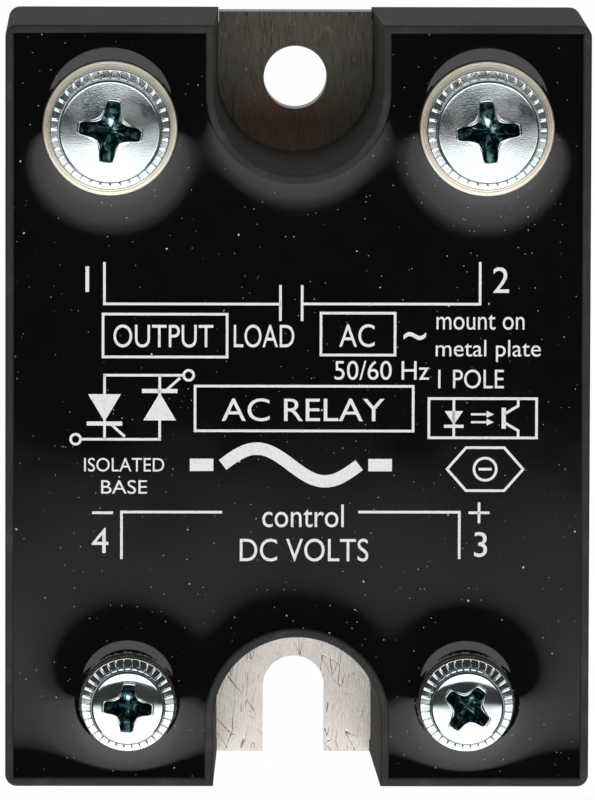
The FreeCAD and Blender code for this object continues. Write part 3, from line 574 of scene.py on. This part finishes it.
class Ink:
    """Collects printed shapes as thin closed prisms."""

    def __init__(self):
        self.shape = bmesh.new()

    def prism(self, outline):
        """A thin solid with the given outline."""
        low, high = [[self.shape.verts.new(Vector((x, y, z)) * MM) for x, y in outline]
                     for z in (INK_LOW, INK_HIGH)]
        self.shape.faces.new(high)
        self.shape.faces.new(low[::-1])
        for k in range(len(outline)):
            following = (k + 1) % len(outline)
            self.shape.faces.new((low[k], low[following], high[following], high[k]))

    def line(self, points, width, closed=False):
        """A mitred line through the points."""
        count = len(points)
        sides = []
        for k in range(count):
            here = Vector(points[k])
            before = Vector(points[k - 1]) if k or closed else None
            after = Vector(points[(k + 1) % count]) if k < count - 1 or closed else None
            arriving = (here - before).normalized() if before else (after - here).normalized()
            leaving = (after - here).normalized() if after else arriving
            mitre = Vector((-arriving.y - leaving.y, arriving.x + leaving.x)).normalized()
            reach = width / 2 / max(0.3, mitre.dot(Vector((-arriving.y, arriving.x))))
            sides.append((here + mitre * reach, here - mitre * reach))
        levels = (INK_LOW, INK_HIGH)
        rails = [[self.shape.verts.new((p.x * MM, p.y * MM, z * MM)) for p in pair for z in levels]
                 for pair in sides]
        for k in range(count if closed else count - 1):
            a, b = rails[k], rails[(k + 1) % count]
            for one, two in ((0, 1), (1, 3), (3, 2), (2, 0)):
                self.shape.faces.new((a[one], a[two], b[two], b[one]))
        if not closed:
            for end in (rails[0], rails[-1]):
                self.shape.faces.new((end[0], end[1], end[3], end[2]))

    def word(self, text, x, y, width, height):
        """Letters centred on (x, y), scaled to the height and, if given, the width."""
        curve = bpy.data.curves.new("letters", "FONT")
        curve.body = text
        curve.extrude = 0.5
        curve.resolution_u = 5
        holder = put("letters", curve)
        bpy.context.view_layer.update()
        mesh = bpy.data.meshes.new_from_object(holder)
        bpy.data.objects.remove(holder)
        places = np.array([tuple(vertex.co) for vertex in mesh.vertices])
        low, high = places.min(axis=0), places.max(axis=0)
        size = high - low
        up = height / size[1]
        across = width / size[0] if width else up
        centre = (low + high) / 2
        for vertex, place in zip(mesh.vertices, places):
            level = INK_HIGH if place[2] > 0 else INK_LOW
            shift = place - centre
            vertex.co = Vector((x + shift[0] * across, y + shift[1] * up, level)) * MM
        self.shape.from_mesh(mesh)
        bpy.data.meshes.remove(mesh)

    def finish(self):
        """Drapes the print over the resin and makes it one piece."""
        for vertex in self.shape.verts:
            x, y = np.array([vertex.co.x / MM]), np.array([vertex.co.y / MM])
            vertex.co.z += (float(resin_height(x, y)[0]) - RESIN_LEVEL) * MM
        bmesh.ops.remove_doubles(self.shape, verts=self.shape.verts, dist=0.002 * MM)
        bmesh.ops.recalc_face_normals(self.shape, faces=self.shape.faces)
        mesh = bpy.data.meshes.new("legend")
        self.shape.to_mesh(mesh)
        self.shape.free()
        piece = put("legend", mesh)
        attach(piece, "housing")
        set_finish(piece, "legend_ink")


def draw_switch_symbol(ink, x, y):
    """Two thyristors side by side, pointing opposite ways, between an upper and a lower rail."""
    for side, way in ((-1, 1), (1, -1)):
        centre = x + side * 2.1
        arrow = ((centre - 1.25, y + 1.0 * way), (centre, y - 1.1 * way), (centre + 1.25, y + 1.0 * way))
        ink.prism(arrow[::way])
        ink.line(((centre - 1.35, y - 1.25 * way), (centre + 1.35, y - 1.25 * way)), 0.32)
        ink.line(((centre, y - 2.45), (centre, y + 2.45)), LINE)
        ink.line(((centre + 0.55, y - 1.35 * way), (centre + 1.55, y - 2.25 * way)), LINE)
    for rail in (-2.45, 2.45):
        ink.line(((x - 2.1 - LINE / 2, y + rail), (x + 2.1 + LINE / 2, y + rail)), LINE)
    for end, rail in ((-3.9, -2.45), (3.9, 2.45)):
        ink.line(((x + math.copysign(2.1, end), y + rail), (x + end, y + rail)), LINE)
        ink.line(ring_points(x + end + math.copysign(0.4, end), y + rail, 0.38, 24), LINE, True)


def draw_coupler_symbol(ink, x, y):
    """A light-emitting diode that shines on a transistor."""
    ink.line(((x - 4.1, y - 1.5), (x + 4.1, y - 1.5), (x + 4.1, y + 1.5), (x - 4.1, y + 1.5)), LINE, True)
    ink.prism(((x - 2.9, y + 0.55), (x - 2.2, y - 0.5), (x - 1.5, y + 0.55)))
    ink.line(((x - 2.95, y - 0.62), (x - 1.45, y - 0.62)), 0.24)
    ink.line(((x - 2.2, y - 1.5), (x - 2.2, y + 1.5)), LINE)
    for shift in (-0.3, 0.3):
        ink.line(((x - 0.9, y + shift), (x + 0.35, y + shift)), 0.16)
        ink.prism(((x + 0.3, y + shift + 0.26), (x + 0.3, y + shift - 0.26), (x + 0.85, y + shift))[::-1])
    ink.line(((x + 1.6, y - 0.8), (x + 1.6, y + 0.8)), 0.32)
    for way in (1, -1):
        ink.line(((x + 1.6, y + 0.3 * way), (x + 2.7, y + 0.95 * way), (x + 2.7, y + 1.5 * way)), LINE)


def draw_plate_symbol(ink, x, y):
    """A rounded hexagon with a ring, for the screw that holds the relay."""
    turns = [math.radians(60 * k) for k in range(6)]
    corners = [(x + 2.9 * math.cos(turn), y + 1.9 * math.sin(turn)) for turn in turns]
    ink.line(corners, LINE, True)
    ink.line(ring_points(x, y, 0.85), LINE, True)
    ink.line(((x - 0.5, y), (x + 0.5, y)), LINE)


def make_legend():
    """Generic words and circuit symbols in white ink."""
    ink = Ink()
    for text, x, y, width, height in WORDS:
        ink.word(text, x, y, width, height)
    for points, closed in LINES:
        ink.line(points, LINE, closed)
    draw_switch_symbol(ink, -12.6, -0.1)
    draw_coupler_symbol(ink, 14.1, -0.9)
    draw_plate_symbol(ink, 14.3, -4.8)
    ink.line(wave_points(-0.5, -4.5, 10.4, 2.5), 0.95)
    for way in (-1, 1):
        ink.line(((-0.5 + way * 5.9, -4.5), (-0.5 + way * 7.7, -4.5)), 0.95)
    ink.finish()


# ---------------- finishes

class Finish:
    """A procedural material, with the node patterns that the finishes share."""

    def __init__(self, name, constants):
        self.material = bpy.data.materials.new(name)
        self.material.use_nodes = True
        self.tree = self.material.node_tree
        self.surface = self.tree.nodes["Principled BSDF"]
        for socket, value in constants.items():
            self.surface.inputs[socket].default_value = value
        self.place = self.vector("MULTIPLY", self.node("ShaderNodeTexCoord").outputs["Object"], (1 / MM,) * 3)
        split = self.node("ShaderNodeSeparateXYZ")
        self.link(self.place, split.inputs[0])
        self.x, self.y, self.z = split.outputs

    def node(self, kind, **settings):
        made = self.tree.nodes.new(kind)
        for setting, value in settings.items():
            setattr(made, setting, value)
        return made

    def link(self, source, target):
        if isinstance(source, bpy.types.NodeSocket):
            self.tree.links.new(source, target)
        else:
            target.default_value = source

    def vector(self, operation, first, second):
        made = self.node("ShaderNodeVectorMath", operation=operation)
        self.link(first, made.inputs[0])
        self.link(second, made.inputs[1])
        return made.outputs[0]

    def maths(self, operation, first, second=0.0):
        made = self.node("ShaderNodeMath", operation=operation)
        self.link(first, made.inputs[0])
        self.link(second, made.inputs[1])
        return made.outputs[0]

    def noise(self, scale, stretch=(1.0, 1.0, 1.0), detail=3.0, roughness=0.5, place=None):
        """Noise between 0 and 1; scale is in features per millimetre."""
        made = self.node("ShaderNodeTexNoise")
        self.link(self.vector("MULTIPLY", place or self.place, stretch), made.inputs["Vector"])
        made.inputs["Scale"].default_value = scale
        made.inputs["Detail"].default_value = detail
        made.inputs["Roughness"].default_value = roughness
        return made.outputs["Fac"]

    def cells(self, scale, feature="F1", output="Distance"):
        """Voronoi cells; scale is in cells per millimetre."""
        made = self.node("ShaderNodeTexVoronoi", feature=feature)
        self.link(self.place, made.inputs["Vector"])
        made.inputs["Scale"].default_value = scale
        return made.outputs[output]

    def specks(self, scale, size, share):
        """Small dots in some of the cells; size is in cell widths, and a higher share leaves fewer."""
        wobble = self.ramp(self.noise(9.0), 0.3, 0.7, -0.4 * size, 0.4 * size)
        ragged = self.maths("ADD", self.cells(scale), wobble)
        dot = self.ramp(ragged, size * 0.7, size * 1.3, 1.0, 0.0)
        return self.maths("MULTIPLY", dot, self.ramp(self.cells(scale, output="Color"), share, share + 0.03))

    def ramp(self, value, low, high, out_low=0.0, out_high=1.0):
        """A smooth step between two values, clamped outside them."""
        made = self.node("ShaderNodeMapRange", interpolation_type="SMOOTHSTEP")
        self.link(value, made.inputs["Value"])
        limits = {"From Min": low, "From Max": high, "To Min": out_low, "To Max": out_high}
        for socket, number in limits.items():
            made.inputs[socket].default_value = number
        return made.outputs["Result"]

    def mix(self, share, first, second):
        """Colour between the first (share 0) and the second (share 1)."""
        made = self.node("ShaderNodeMix", data_type="RGBA")
        self.link(share, made.inputs[0])
        self.link(full(first), made.inputs[6])
        self.link(full(second), made.inputs[7])
        return made.outputs[2]

    def turned(self, angle):
        """The place in millimetres, turned about Z."""
        made = self.node("ShaderNodeVectorRotate", rotation_type="Z_AXIS")
        self.link(self.place, made.inputs["Vector"])
        made.inputs["Angle"].default_value = math.radians(angle)
        return made.outputs[0]

    def scratch_marks(self, angle, length, spacing, amount):
        """Thin straight marks along one direction, 0 to 1."""
        field = self.noise(1.0, (1 / spacing, 1 / length, 1 / spacing), 1.0, 0.4, self.turned(angle))
        rising = self.ramp(field, 0.5 - amount, 0.5, 0.0, 1.0)
        falling = self.ramp(field, 0.5, 0.5 + amount, 1.0, 0.0)
        return self.maths("MULTIPLY", rising, falling)

    def paint(self, colour=None, roughness=None):
        for socket, value in (("Base Color", colour), ("Roughness", roughness)):
            if value is not None:
                self.link(value, self.surface.inputs[socket])

    def relief(self, height, depth):
        """Bump; depth in millimetres for a height of 1. Calls stack."""
        made = self.node("ShaderNodeBump")
        made.inputs["Distance"].default_value = depth * MM
        self.link(height, made.inputs["Height"])
        old = self.surface.inputs["Normal"]
        if old.is_linked:
            self.tree.links.new(old.links[0].from_socket, made.inputs["Normal"])
        self.tree.links.new(made.outputs["Normal"], old)


def full(colour):
    """A colour with its alpha; sockets pass through."""
    return (*colour, 1.0) if isinstance(colour, tuple) and len(colour) == 3 else colour


def resin_finish():
    """Self-levelled glossy potting with a little dust."""
    look = Finish("epoxy", {"IOR": 1.5})
    dust = look.specks(0.75, 0.05, 0.60)
    for scale, size, share in ((1.3, 0.045, 0.52), (2.3, 0.06, 0.58)):
        dust = look.maths("MAXIMUM", dust, look.specks(scale, size, share))
    haze = look.noise(0.25, detail=5.0, roughness=0.6)
    colour = look.mix(haze, (0.0012, 0.0012, 0.0013), (0.0024, 0.0022, 0.0022))
    look.paint(look.mix(dust, colour, (0.55, 0.55, 0.52)))
    look.paint(roughness=look.maths("MAXIMUM", look.ramp(haze, 0.3, 0.8, 0.035, 0.07),
                                    look.maths("MULTIPLY", dust, 0.6)))
    look.relief(look.noise(0.22, detail=1.0), 0.003)
    return look.material


def ink_finish():
    """Matt white ink, patchy and with pinholes."""
    look = Finish("legend_ink", {"IOR": 1.5})
    patch = look.noise(2.2, detail=4.0, roughness=0.7)
    pinholes = look.ramp(look.noise(7.0, detail=2.0), 0.60, 0.70)
    colour = look.mix(patch, (0.66, 0.67, 0.65), (0.80, 0.81, 0.79))
    look.paint(look.mix(look.maths("MULTIPLY", pinholes, 0.5), colour, (0.30, 0.30, 0.30)))
    look.paint(roughness=look.ramp(patch, 0.2, 0.8, 0.45, 0.65))
    look.relief(patch, 0.01)
    return look.material


def case_finish():
    """Moulded plastic: satin, finely textured, with a few rubbed places."""
    look = Finish("case_plastic", {"IOR": 1.5, "Specular IOR Level": 0.3})
    texture = look.noise(5.0, detail=4.0, roughness=0.6)
    wear = look.ramp(look.noise(0.35, detail=5.0, roughness=0.65), 0.5, 0.75)
    look.paint(look.mix(wear, (0.020, 0.020, 0.018), (0.042, 0.041, 0.037)))
    look.paint(roughness=look.ramp(texture, 0.2, 0.8, 0.58, 0.74))
    look.relief(texture, 0.02)
    look.relief(look.scratch_marks(82, 6.0, 0.35, 0.02), 0.01)
    return look.material


RED_PATCH = (-0.8, 20.6, 3.0)   # middle of the reddish tarnish next to the round hole


def plate_finish():
    """Nickel-plated plate, brushed along Y and scratched, with painted shade that darkens it towards the load
    end and a reddish tarnish patch there.
    """
    look = Finish("plate_metal", {"Metallic": 1.0})
    brushed = look.noise(1.0, (14.0, 0.5, 14.0), 4.0, 0.7)
    blotch = look.noise(0.5, detail=6.0, roughness=0.65)
    clean = look.mix(blotch, (0.78, 0.71, 0.65), (0.95, 0.90, 0.85))
    # painted shade: a dark brushed tone that stands in for the load end's darker look
    painted_shade_brushed = look.mix(brushed, (0.10, 0.094, 0.078), (0.30, 0.28, 0.235))
    from_patch = look.node("ShaderNodeVectorMath", operation="DISTANCE")
    look.link(look.place, from_patch.inputs[0])
    from_patch.inputs[1].default_value = RED_PATCH
    patch = look.ramp(from_patch.outputs["Value"], 1.5, 5.0, 1.0, 0.0)
    # the reddish tarnish patch, laid over the painted shade
    shade_and_red_tarnish = look.mix(look.maths("MULTIPLY", patch, look.ramp(blotch, 0.35, 0.6)), painted_shade_brushed, (0.30, 0.17, 0.12))
    # painted shade: dark towards the load end (+Y), the bright plate colour towards the control end
    colour = look.mix(look.ramp(look.y, -6.0, 8.0), clean, shade_and_red_tarnish)
    marks = look.maths("MAXIMUM", look.scratch_marks(8, 6.0, 0.7, 0.010),
                       look.scratch_marks(-38, 9.0, 1.6, 0.006))
    marks = look.maths("MULTIPLY", marks, look.ramp(look.noise(0.7, detail=2.0), 0.42, 0.56))
    colour = look.mix(look.maths("MULTIPLY", marks, 0.7), colour, (0.12, 0.10, 0.08))
    look.paint(look.mix(look.specks(1.1, 0.08, 0.55), colour, (0.9, 0.88, 0.8)))
    look.paint(roughness=look.ramp(brushed, 0.2, 0.8, 0.20, 0.34))
    look.relief(brushed, 0.010)
    look.relief(marks, -0.012)
    return look.material


def zinc_finish(name, roughness, peel, sway):
    """Zinc with a blue passivation film that shifts towards teal and straw in patches."""
    look = Finish(name, {"Metallic": 1.0})
    film = look.noise(0.55, detail=3.0)
    cool = look.mix(look.ramp(film, 0.35, 0.65), (0.66, 0.75, 0.78), (0.78, 0.84, 0.85))
    straw = look.ramp(look.noise(0.9, detail=2.0), 0.60, 0.75, 0.0, 0.6)
    look.paint(look.mix(straw, cool, (0.80, 0.80, 0.72)))
    grain = look.noise(9.0, detail=3.0, roughness=0.6)
    look.paint(roughness=look.ramp(film, 0.3, 0.7, roughness, roughness * 1.8))
    look.relief(grain, peel)
    look.relief(look.noise(0.28, detail=1.0), sway)
    return look.material


def zinc_recess_finish():
    """The same zinc inside a cross recess, painted much darker as shade, since little light comes in."""
    look = Finish("zinc_recess_shade", {"Metallic": 1.0})
    film = look.noise(1.3, detail=4.0)
    # painted shade: near-black teal mixed with patches of the lighter zinc
    look.paint(look.mix(look.ramp(film, 0.46, 0.64), (0.012, 0.04, 0.045), (0.44, 0.62, 0.64)))
    look.paint(roughness=look.ramp(film, 0.2, 0.8, 0.10, 0.20))
    look.relief(look.noise(2.5, detail=3.0), 0.03)
    return look.material


def post_finish():
    """Tin over turned brass: concentric tool marks and a warm tone."""
    look = Finish("post_metal", {"Metallic": 1.0})
    radius = look.node("ShaderNodeVectorMath", operation="LENGTH")
    look.link(look.vector("MULTIPLY", look.place, (1.0, 1.0, 0.0)), radius.inputs[0])
    lines = look.node("ShaderNodeTexNoise", noise_dimensions="1D")
    climb = look.maths("MULTIPLY", look.z, 0.9)
    look.link(look.maths("ADD", radius.outputs["Value"], climb), lines.inputs["W"])
    lines.inputs["Scale"].default_value = 7.0
    lines.inputs["Detail"].default_value = 3.0
    patch = look.noise(0.9, detail=4.0, roughness=0.6)
    colour = look.mix(patch, (0.84, 0.77, 0.62), (0.97, 0.93, 0.84))
    look.paint(look.mix(look.ramp(lines.outputs["Fac"], 0.35, 0.65, 0.0, 0.5), colour, (0.42, 0.34, 0.23)))
    look.paint(roughness=look.ramp(patch, 0.2, 0.8, 0.24, 0.38))
    look.relief(lines.outputs["Fac"], 0.03)
    return look.material


def metal_finish(name, dull, bright, roughness, depth):
    """A plain inner metal part: patchy colour over fine rolling marks."""
    look = Finish(name, {"Metallic": 1.0})
    patch = look.noise(0.8, detail=5.0, roughness=0.6)
    rolled = look.noise(1.0, (10.0, 0.8, 10.0), 3.0)
    look.paint(look.mix(patch, dull, bright), look.ramp(rolled, 0.2, 0.8, roughness, roughness + 0.18))
    look.relief(rolled, depth)
    return look.material


def coated_finish(name, dark, light, roughness, grain, depth):
    """A plain inner moulded, coated or cast part: mottled colour and a fine grain."""
    look = Finish(name, {"IOR": 1.5})
    mottle = look.noise(grain, detail=5.0, roughness=0.6)
    look.paint(look.mix(mottle, dark, light), look.ramp(mottle, 0.2, 0.8, roughness, roughness + 0.15))
    look.relief(look.noise(grain * 4, detail=3.0), depth)
    return look.material


def board_finish():
    """Green solder mask over tracks, and a glass weave."""
    look = Finish("board_laminate", {"IOR": 1.5})
    tracks = look.ramp(look.cells(0.32, "DISTANCE_TO_EDGE"), 0.10, 0.13, 1.0, 0.0)
    weave = look.maths("MULTIPLY", look.maths("SINE", look.maths("MULTIPLY", look.x, 9.0)),
                       look.maths("SINE", look.maths("MULTIPLY", look.y, 9.0)))
    mask = look.mix(look.noise(0.6), (0.020, 0.110, 0.050), (0.030, 0.150, 0.070))
    look.paint(look.mix(tracks, mask, (0.060, 0.260, 0.110)), look.ramp(weave, -1.0, 1.0, 0.25, 0.35))
    look.relief(tracks, 0.03)
    look.relief(weave, 0.004)
    return look.material


def banded_finish():
    """Tan lacquer with coloured rings across X, as on a small resistor."""
    look = Finish("component_tan", {"IOR": 1.5})
    body = look.mix(look.noise(1.5), (0.56, 0.42, 0.25), (0.70, 0.56, 0.36))
    wave = look.maths("SINE", look.maths("MULTIPLY", look.x, 4.2))
    ring = look.ramp(wave, 0.55, 0.65)
    hue = look.mix(look.ramp(look.noise(0.5), 0.45, 0.55), (0.20, 0.06, 0.03), (0.05, 0.04, 0.30))
    look.paint(look.mix(ring, body, hue), look.ramp(look.noise(3.0), 0.2, 0.8, 0.28, 0.42))
    look.relief(look.noise(4.0), 0.01)
    return look.material


METALS = {
    # dull colour, bright colour, roughness, relief
    "copper": ((0.70, 0.34, 0.20), (0.86, 0.50, 0.34), 0.25, 0.01),
    "solder": ((0.52, 0.53, 0.55), (0.72, 0.73, 0.75), 0.22, 0.02),
    "silicon": ((0.10, 0.11, 0.15), (0.18, 0.19, 0.24), 0.10, 0.001),
}
COATINGS = {
    # dark colour, light colour, roughness, grain per millimetre, relief
    "gel": ((0.55, 0.60, 0.63), (0.66, 0.70, 0.73), 0.10, 0.3, 0.005),
    "adhesive": ((0.05, 0.05, 0.05), (0.09, 0.09, 0.09), 0.45, 1.2, 0.05),
    "ceramic": ((0.80, 0.79, 0.75), (0.88, 0.88, 0.85), 0.45, 3.0, 0.01),
    "component_black": ((0.02, 0.02, 0.02), (0.04, 0.04, 0.04), 0.42, 3.0, 0.02),
    "component_grey": ((0.34, 0.36, 0.35), (0.46, 0.48, 0.46), 0.55, 2.0, 0.03),
    "component_blue": ((0.05, 0.16, 0.38), (0.08, 0.22, 0.48), 0.25, 1.5, 0.02),
    "component_yellow": ((0.66, 0.46, 0.06), (0.78, 0.58, 0.10), 0.3, 1.5, 0.01),
}


def make_finishes():
    """The finish of each material slot, and the two extra finishes of the screws."""
    finishes = {
        "epoxy": resin_finish(),
        "legend_ink": ink_finish(),
        "case_plastic": case_finish(),
        "plate_metal": plate_finish(),
        "zinc_steel": zinc_finish("zinc_satin", 0.12, 0.008, 0.07),
        "zinc_bright": zinc_finish("zinc_bright", 0.06, 0.001, 0.03),
        "zinc_recess_shade": zinc_recess_finish(),
        "post_metal": post_finish(),
        "board_laminate": board_finish(),
        "component_tan": banded_finish(),
    }
    for name, look in METALS.items():
        finishes[name] = metal_finish(name, *look)
    for name, look in COATINGS.items():
        finishes[name] = coated_finish(name, *look)
    return finishes


def dress(finishes):
    """Gives every piece, CAD nodes included, the finish of its material slot."""
    slots = {part["node"]: part["material_slot"] for part in frame["record"]["subparts"]}
    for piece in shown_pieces():
        slot = piece.get("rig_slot") or slots[piece["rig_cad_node"]]
        bright = slot == "zinc_steel" and piece.name.startswith("control")
        # clearing the materials would forget which faces are in a recess
        in_recess = [face.material_index for face in piece.data.polygons]
        piece.data.materials.clear()
        piece.data.materials.append(finishes["zinc_bright" if bright else slot])
        if piece.name.endswith("_threaded"):
            # the recess faces get the zinc darkened with painted shade
            piece.data.materials.append(finishes["zinc_recess_shade"])
            piece.data.polygons.foreach_set("material_index", in_recess)
        if "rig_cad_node" in piece:
            piece.data.polygons.foreach_set("use_smooth", [True] * len(piece.data.polygons))
            piece.data.set_sharp_from_angle(angle=math.radians(30))


# ---------------- studio

SOFTBOX_RADIANCE = 2.0
SOFTBOX_STOPS = (
    # Y in metres, share: dim at the edge over the relay, brighter further out
    (-1.50, 1.20), (-0.70, 1.14), (-0.44, 1.02), (-0.345, 0.87), (-0.275, 0.76), (-0.22, 0.70),
    (-0.185, 0.63), (-0.155, 0.57), (-0.146, 0.49), (-0.135, 0.37), (-0.128, 0.30), (-0.118, 0.23),
    (-0.112, 0.17), (-0.106, 0.07), (-0.100, 0.0),
)
FRONT_RADIANCE = 1.6
REAR_RADIANCE = 1.8
FLOOR_RADIANCE = 0.5        # as the relay sees it; the camera sees it white
FILL_POWER = 12.0
WORLD_RADIANCE = 0.04
CAMERA_PLACE = (-11.64, 82.48, 855.1)
CAMERA_TILT = (-0.0981, -0.0138, 0.0022)     # rotation vector in radians, from looking straight down


def staged(name, vertices, faces):
    """A staged mesh, sizes in metres."""
    mesh = bpy.data.meshes.new(name)
    mesh.from_pydata(vertices, [], faces)
    piece = put(name, mesh)
    return piece


def sheet(name, corner_low, corner_high, z):
    """A flat staged rectangle, sizes in metres."""
    (x0, y0), (x1, y1) = corner_low, corner_high
    return staged(name, [(x0, y0, z), (x1, y0, z), (x1, y1, z), (x0, y1, z)], [(0, 1, 2, 3)])


def glow(piece, radiance, stops=(), seen=None):
    """Lets a staged piece shine.

    stops are (Y in metres, share of the radiance).
    seen is the radiance that the camera itself sees, if it differs.
    """
    material = bpy.data.materials.new(piece.name)
    material.use_nodes = True
    tree = material.node_tree
    tree.nodes.clear()
    shine = tree.nodes.new("ShaderNodeEmission")
    shine.inputs["Strength"].default_value = radiance
    if stops:
        place = tree.nodes.new("ShaderNodeNewGeometry")
        split = tree.nodes.new("ShaderNodeSeparateXYZ")
        span = tree.nodes.new("ShaderNodeMapRange")
        ramp = tree.nodes.new("ShaderNodeValToRGB")
        first, last = stops[0][0], stops[-1][0]
        span.inputs["From Min"].default_value = first
        span.inputs["From Max"].default_value = last
        tree.links.new(place.outputs["Position"], split.inputs[0])
        tree.links.new(split.outputs["Y"], span.inputs["Value"])
        tree.links.new(span.outputs["Result"], ramp.inputs["Fac"])
        tree.links.new(ramp.outputs["Color"], shine.inputs["Color"])
        points = ramp.color_ramp.elements
        while len(points) < len(stops):
            points.new(0.5)
        for point, (where, share) in zip(points, stops):
            point.position = (where - first) / (last - first)
            point.color = (share, share, share, 1.0)
    if seen is not None:
        path = tree.nodes.new("ShaderNodeLightPath")
        choice = tree.nodes.new("ShaderNodeMapRange")
        choice.inputs["To Min"].default_value = radiance
        choice.inputs["To Max"].default_value = seen
        tree.links.new(path.outputs["Is Camera Ray"], choice.inputs["Value"])
        tree.links.new(choice.outputs["Result"], shine.inputs["Strength"])
    output = tree.nodes.new("ShaderNodeOutputMaterial")
    tree.links.new(shine.outputs[0], output.inputs["Surface"])
    piece.data.materials.append(material)


def make_floor():
    """A pale floor and a low pale wall all round, so that every view has a plain background."""
    floor = sheet("floor", (-3.0, -3.0), (3.0, 3.0), -0.0002)
    count, radius, height = 64, 2.9, 0.9
    turns = full_turn(count)
    vertices = [(radius * math.cos(t), radius * math.sin(t), z) for z in (0.0, height) for t in turns]
    faces = [(k, (k + 1) % count, count + (k + 1) % count, count + k) for k in range(count)]
    backdrop = staged("backdrop", vertices, faces)
    glow(floor, FLOOR_RADIANCE, seen=1.0)
    glow(backdrop, 1.0)
    backdrop.visible_glossy = False


def make_lights():
    """A large softbox on the control side, a strip behind, a wall of light in front, and a soft fill."""
    softbox = sheet("softbox", (-0.8, -1.5), (0.8, -0.10), 1.0)
    glow(softbox, SOFTBOX_RADIANCE, SOFTBOX_STOPS)
    rear = sheet("rear_light", (-0.7, 0.25), (0.7, 0.64), 1.0)
    glow(rear, REAR_RADIANCE)
    front = sheet("front_light", (-1.3, 0.15), (1.3, 1.0), 0.0)
    front.rotation_euler = (math.radians(90), 0.0, 0.0)
    front.location = (0.0, -1.5, 0.0)
    glow(front, FRONT_RADIANCE)
    for light in (softbox, rear, front):
        light.visible_camera = False
    fill = bpy.data.lights.new("fill", "AREA")
    fill.shape = "RECTANGLE"
    fill.size, fill.size_y = 1.2, 1.2
    fill.energy = FILL_POWER
    holder = put("fill", fill)
    holder.location = (0.0, 0.15, 1.3)
    holder.visible_glossy = False
    holder.visible_camera = False
    world = bpy.data.worlds.new("studio")
    bpy.context.scene.world = world
    world.use_nodes = True
    background = world.node_tree.nodes["Background"].inputs
    background["Color"].default_value = (1.0, 1.0, 1.0, 1.0)
    background["Strength"].default_value = WORLD_RADIANCE


def make_camera():
    """The photographer's view: almost straight down from the load end's side, with a long lens."""
    lens = bpy.data.cameras.new("camera")
    lens.lens = 495.0
    lens.sensor_width = 36.0
    lens.clip_start, lens.clip_end = 0.1, 10.0
    camera = put("camera", lens)
    tilt = Vector(CAMERA_TILT)
    camera.rotation_mode = "QUATERNION"
    camera.rotation_quaternion = Quaternion(tilt.normalized(), tilt.length)
    camera.location = Vector(CAMERA_PLACE) * MM
    bpy.context.scene.camera = camera


# ---------------- build

make_camera()
make_resin()
make_legend()
for terminal in TERMINALS:
    make_post(terminal)
    make_washer(terminal)
    make_screw(terminal)
dress(make_finishes())
make_floor()
make_lights()
bpy.context.scene.view_settings.view_transform = "Standard"
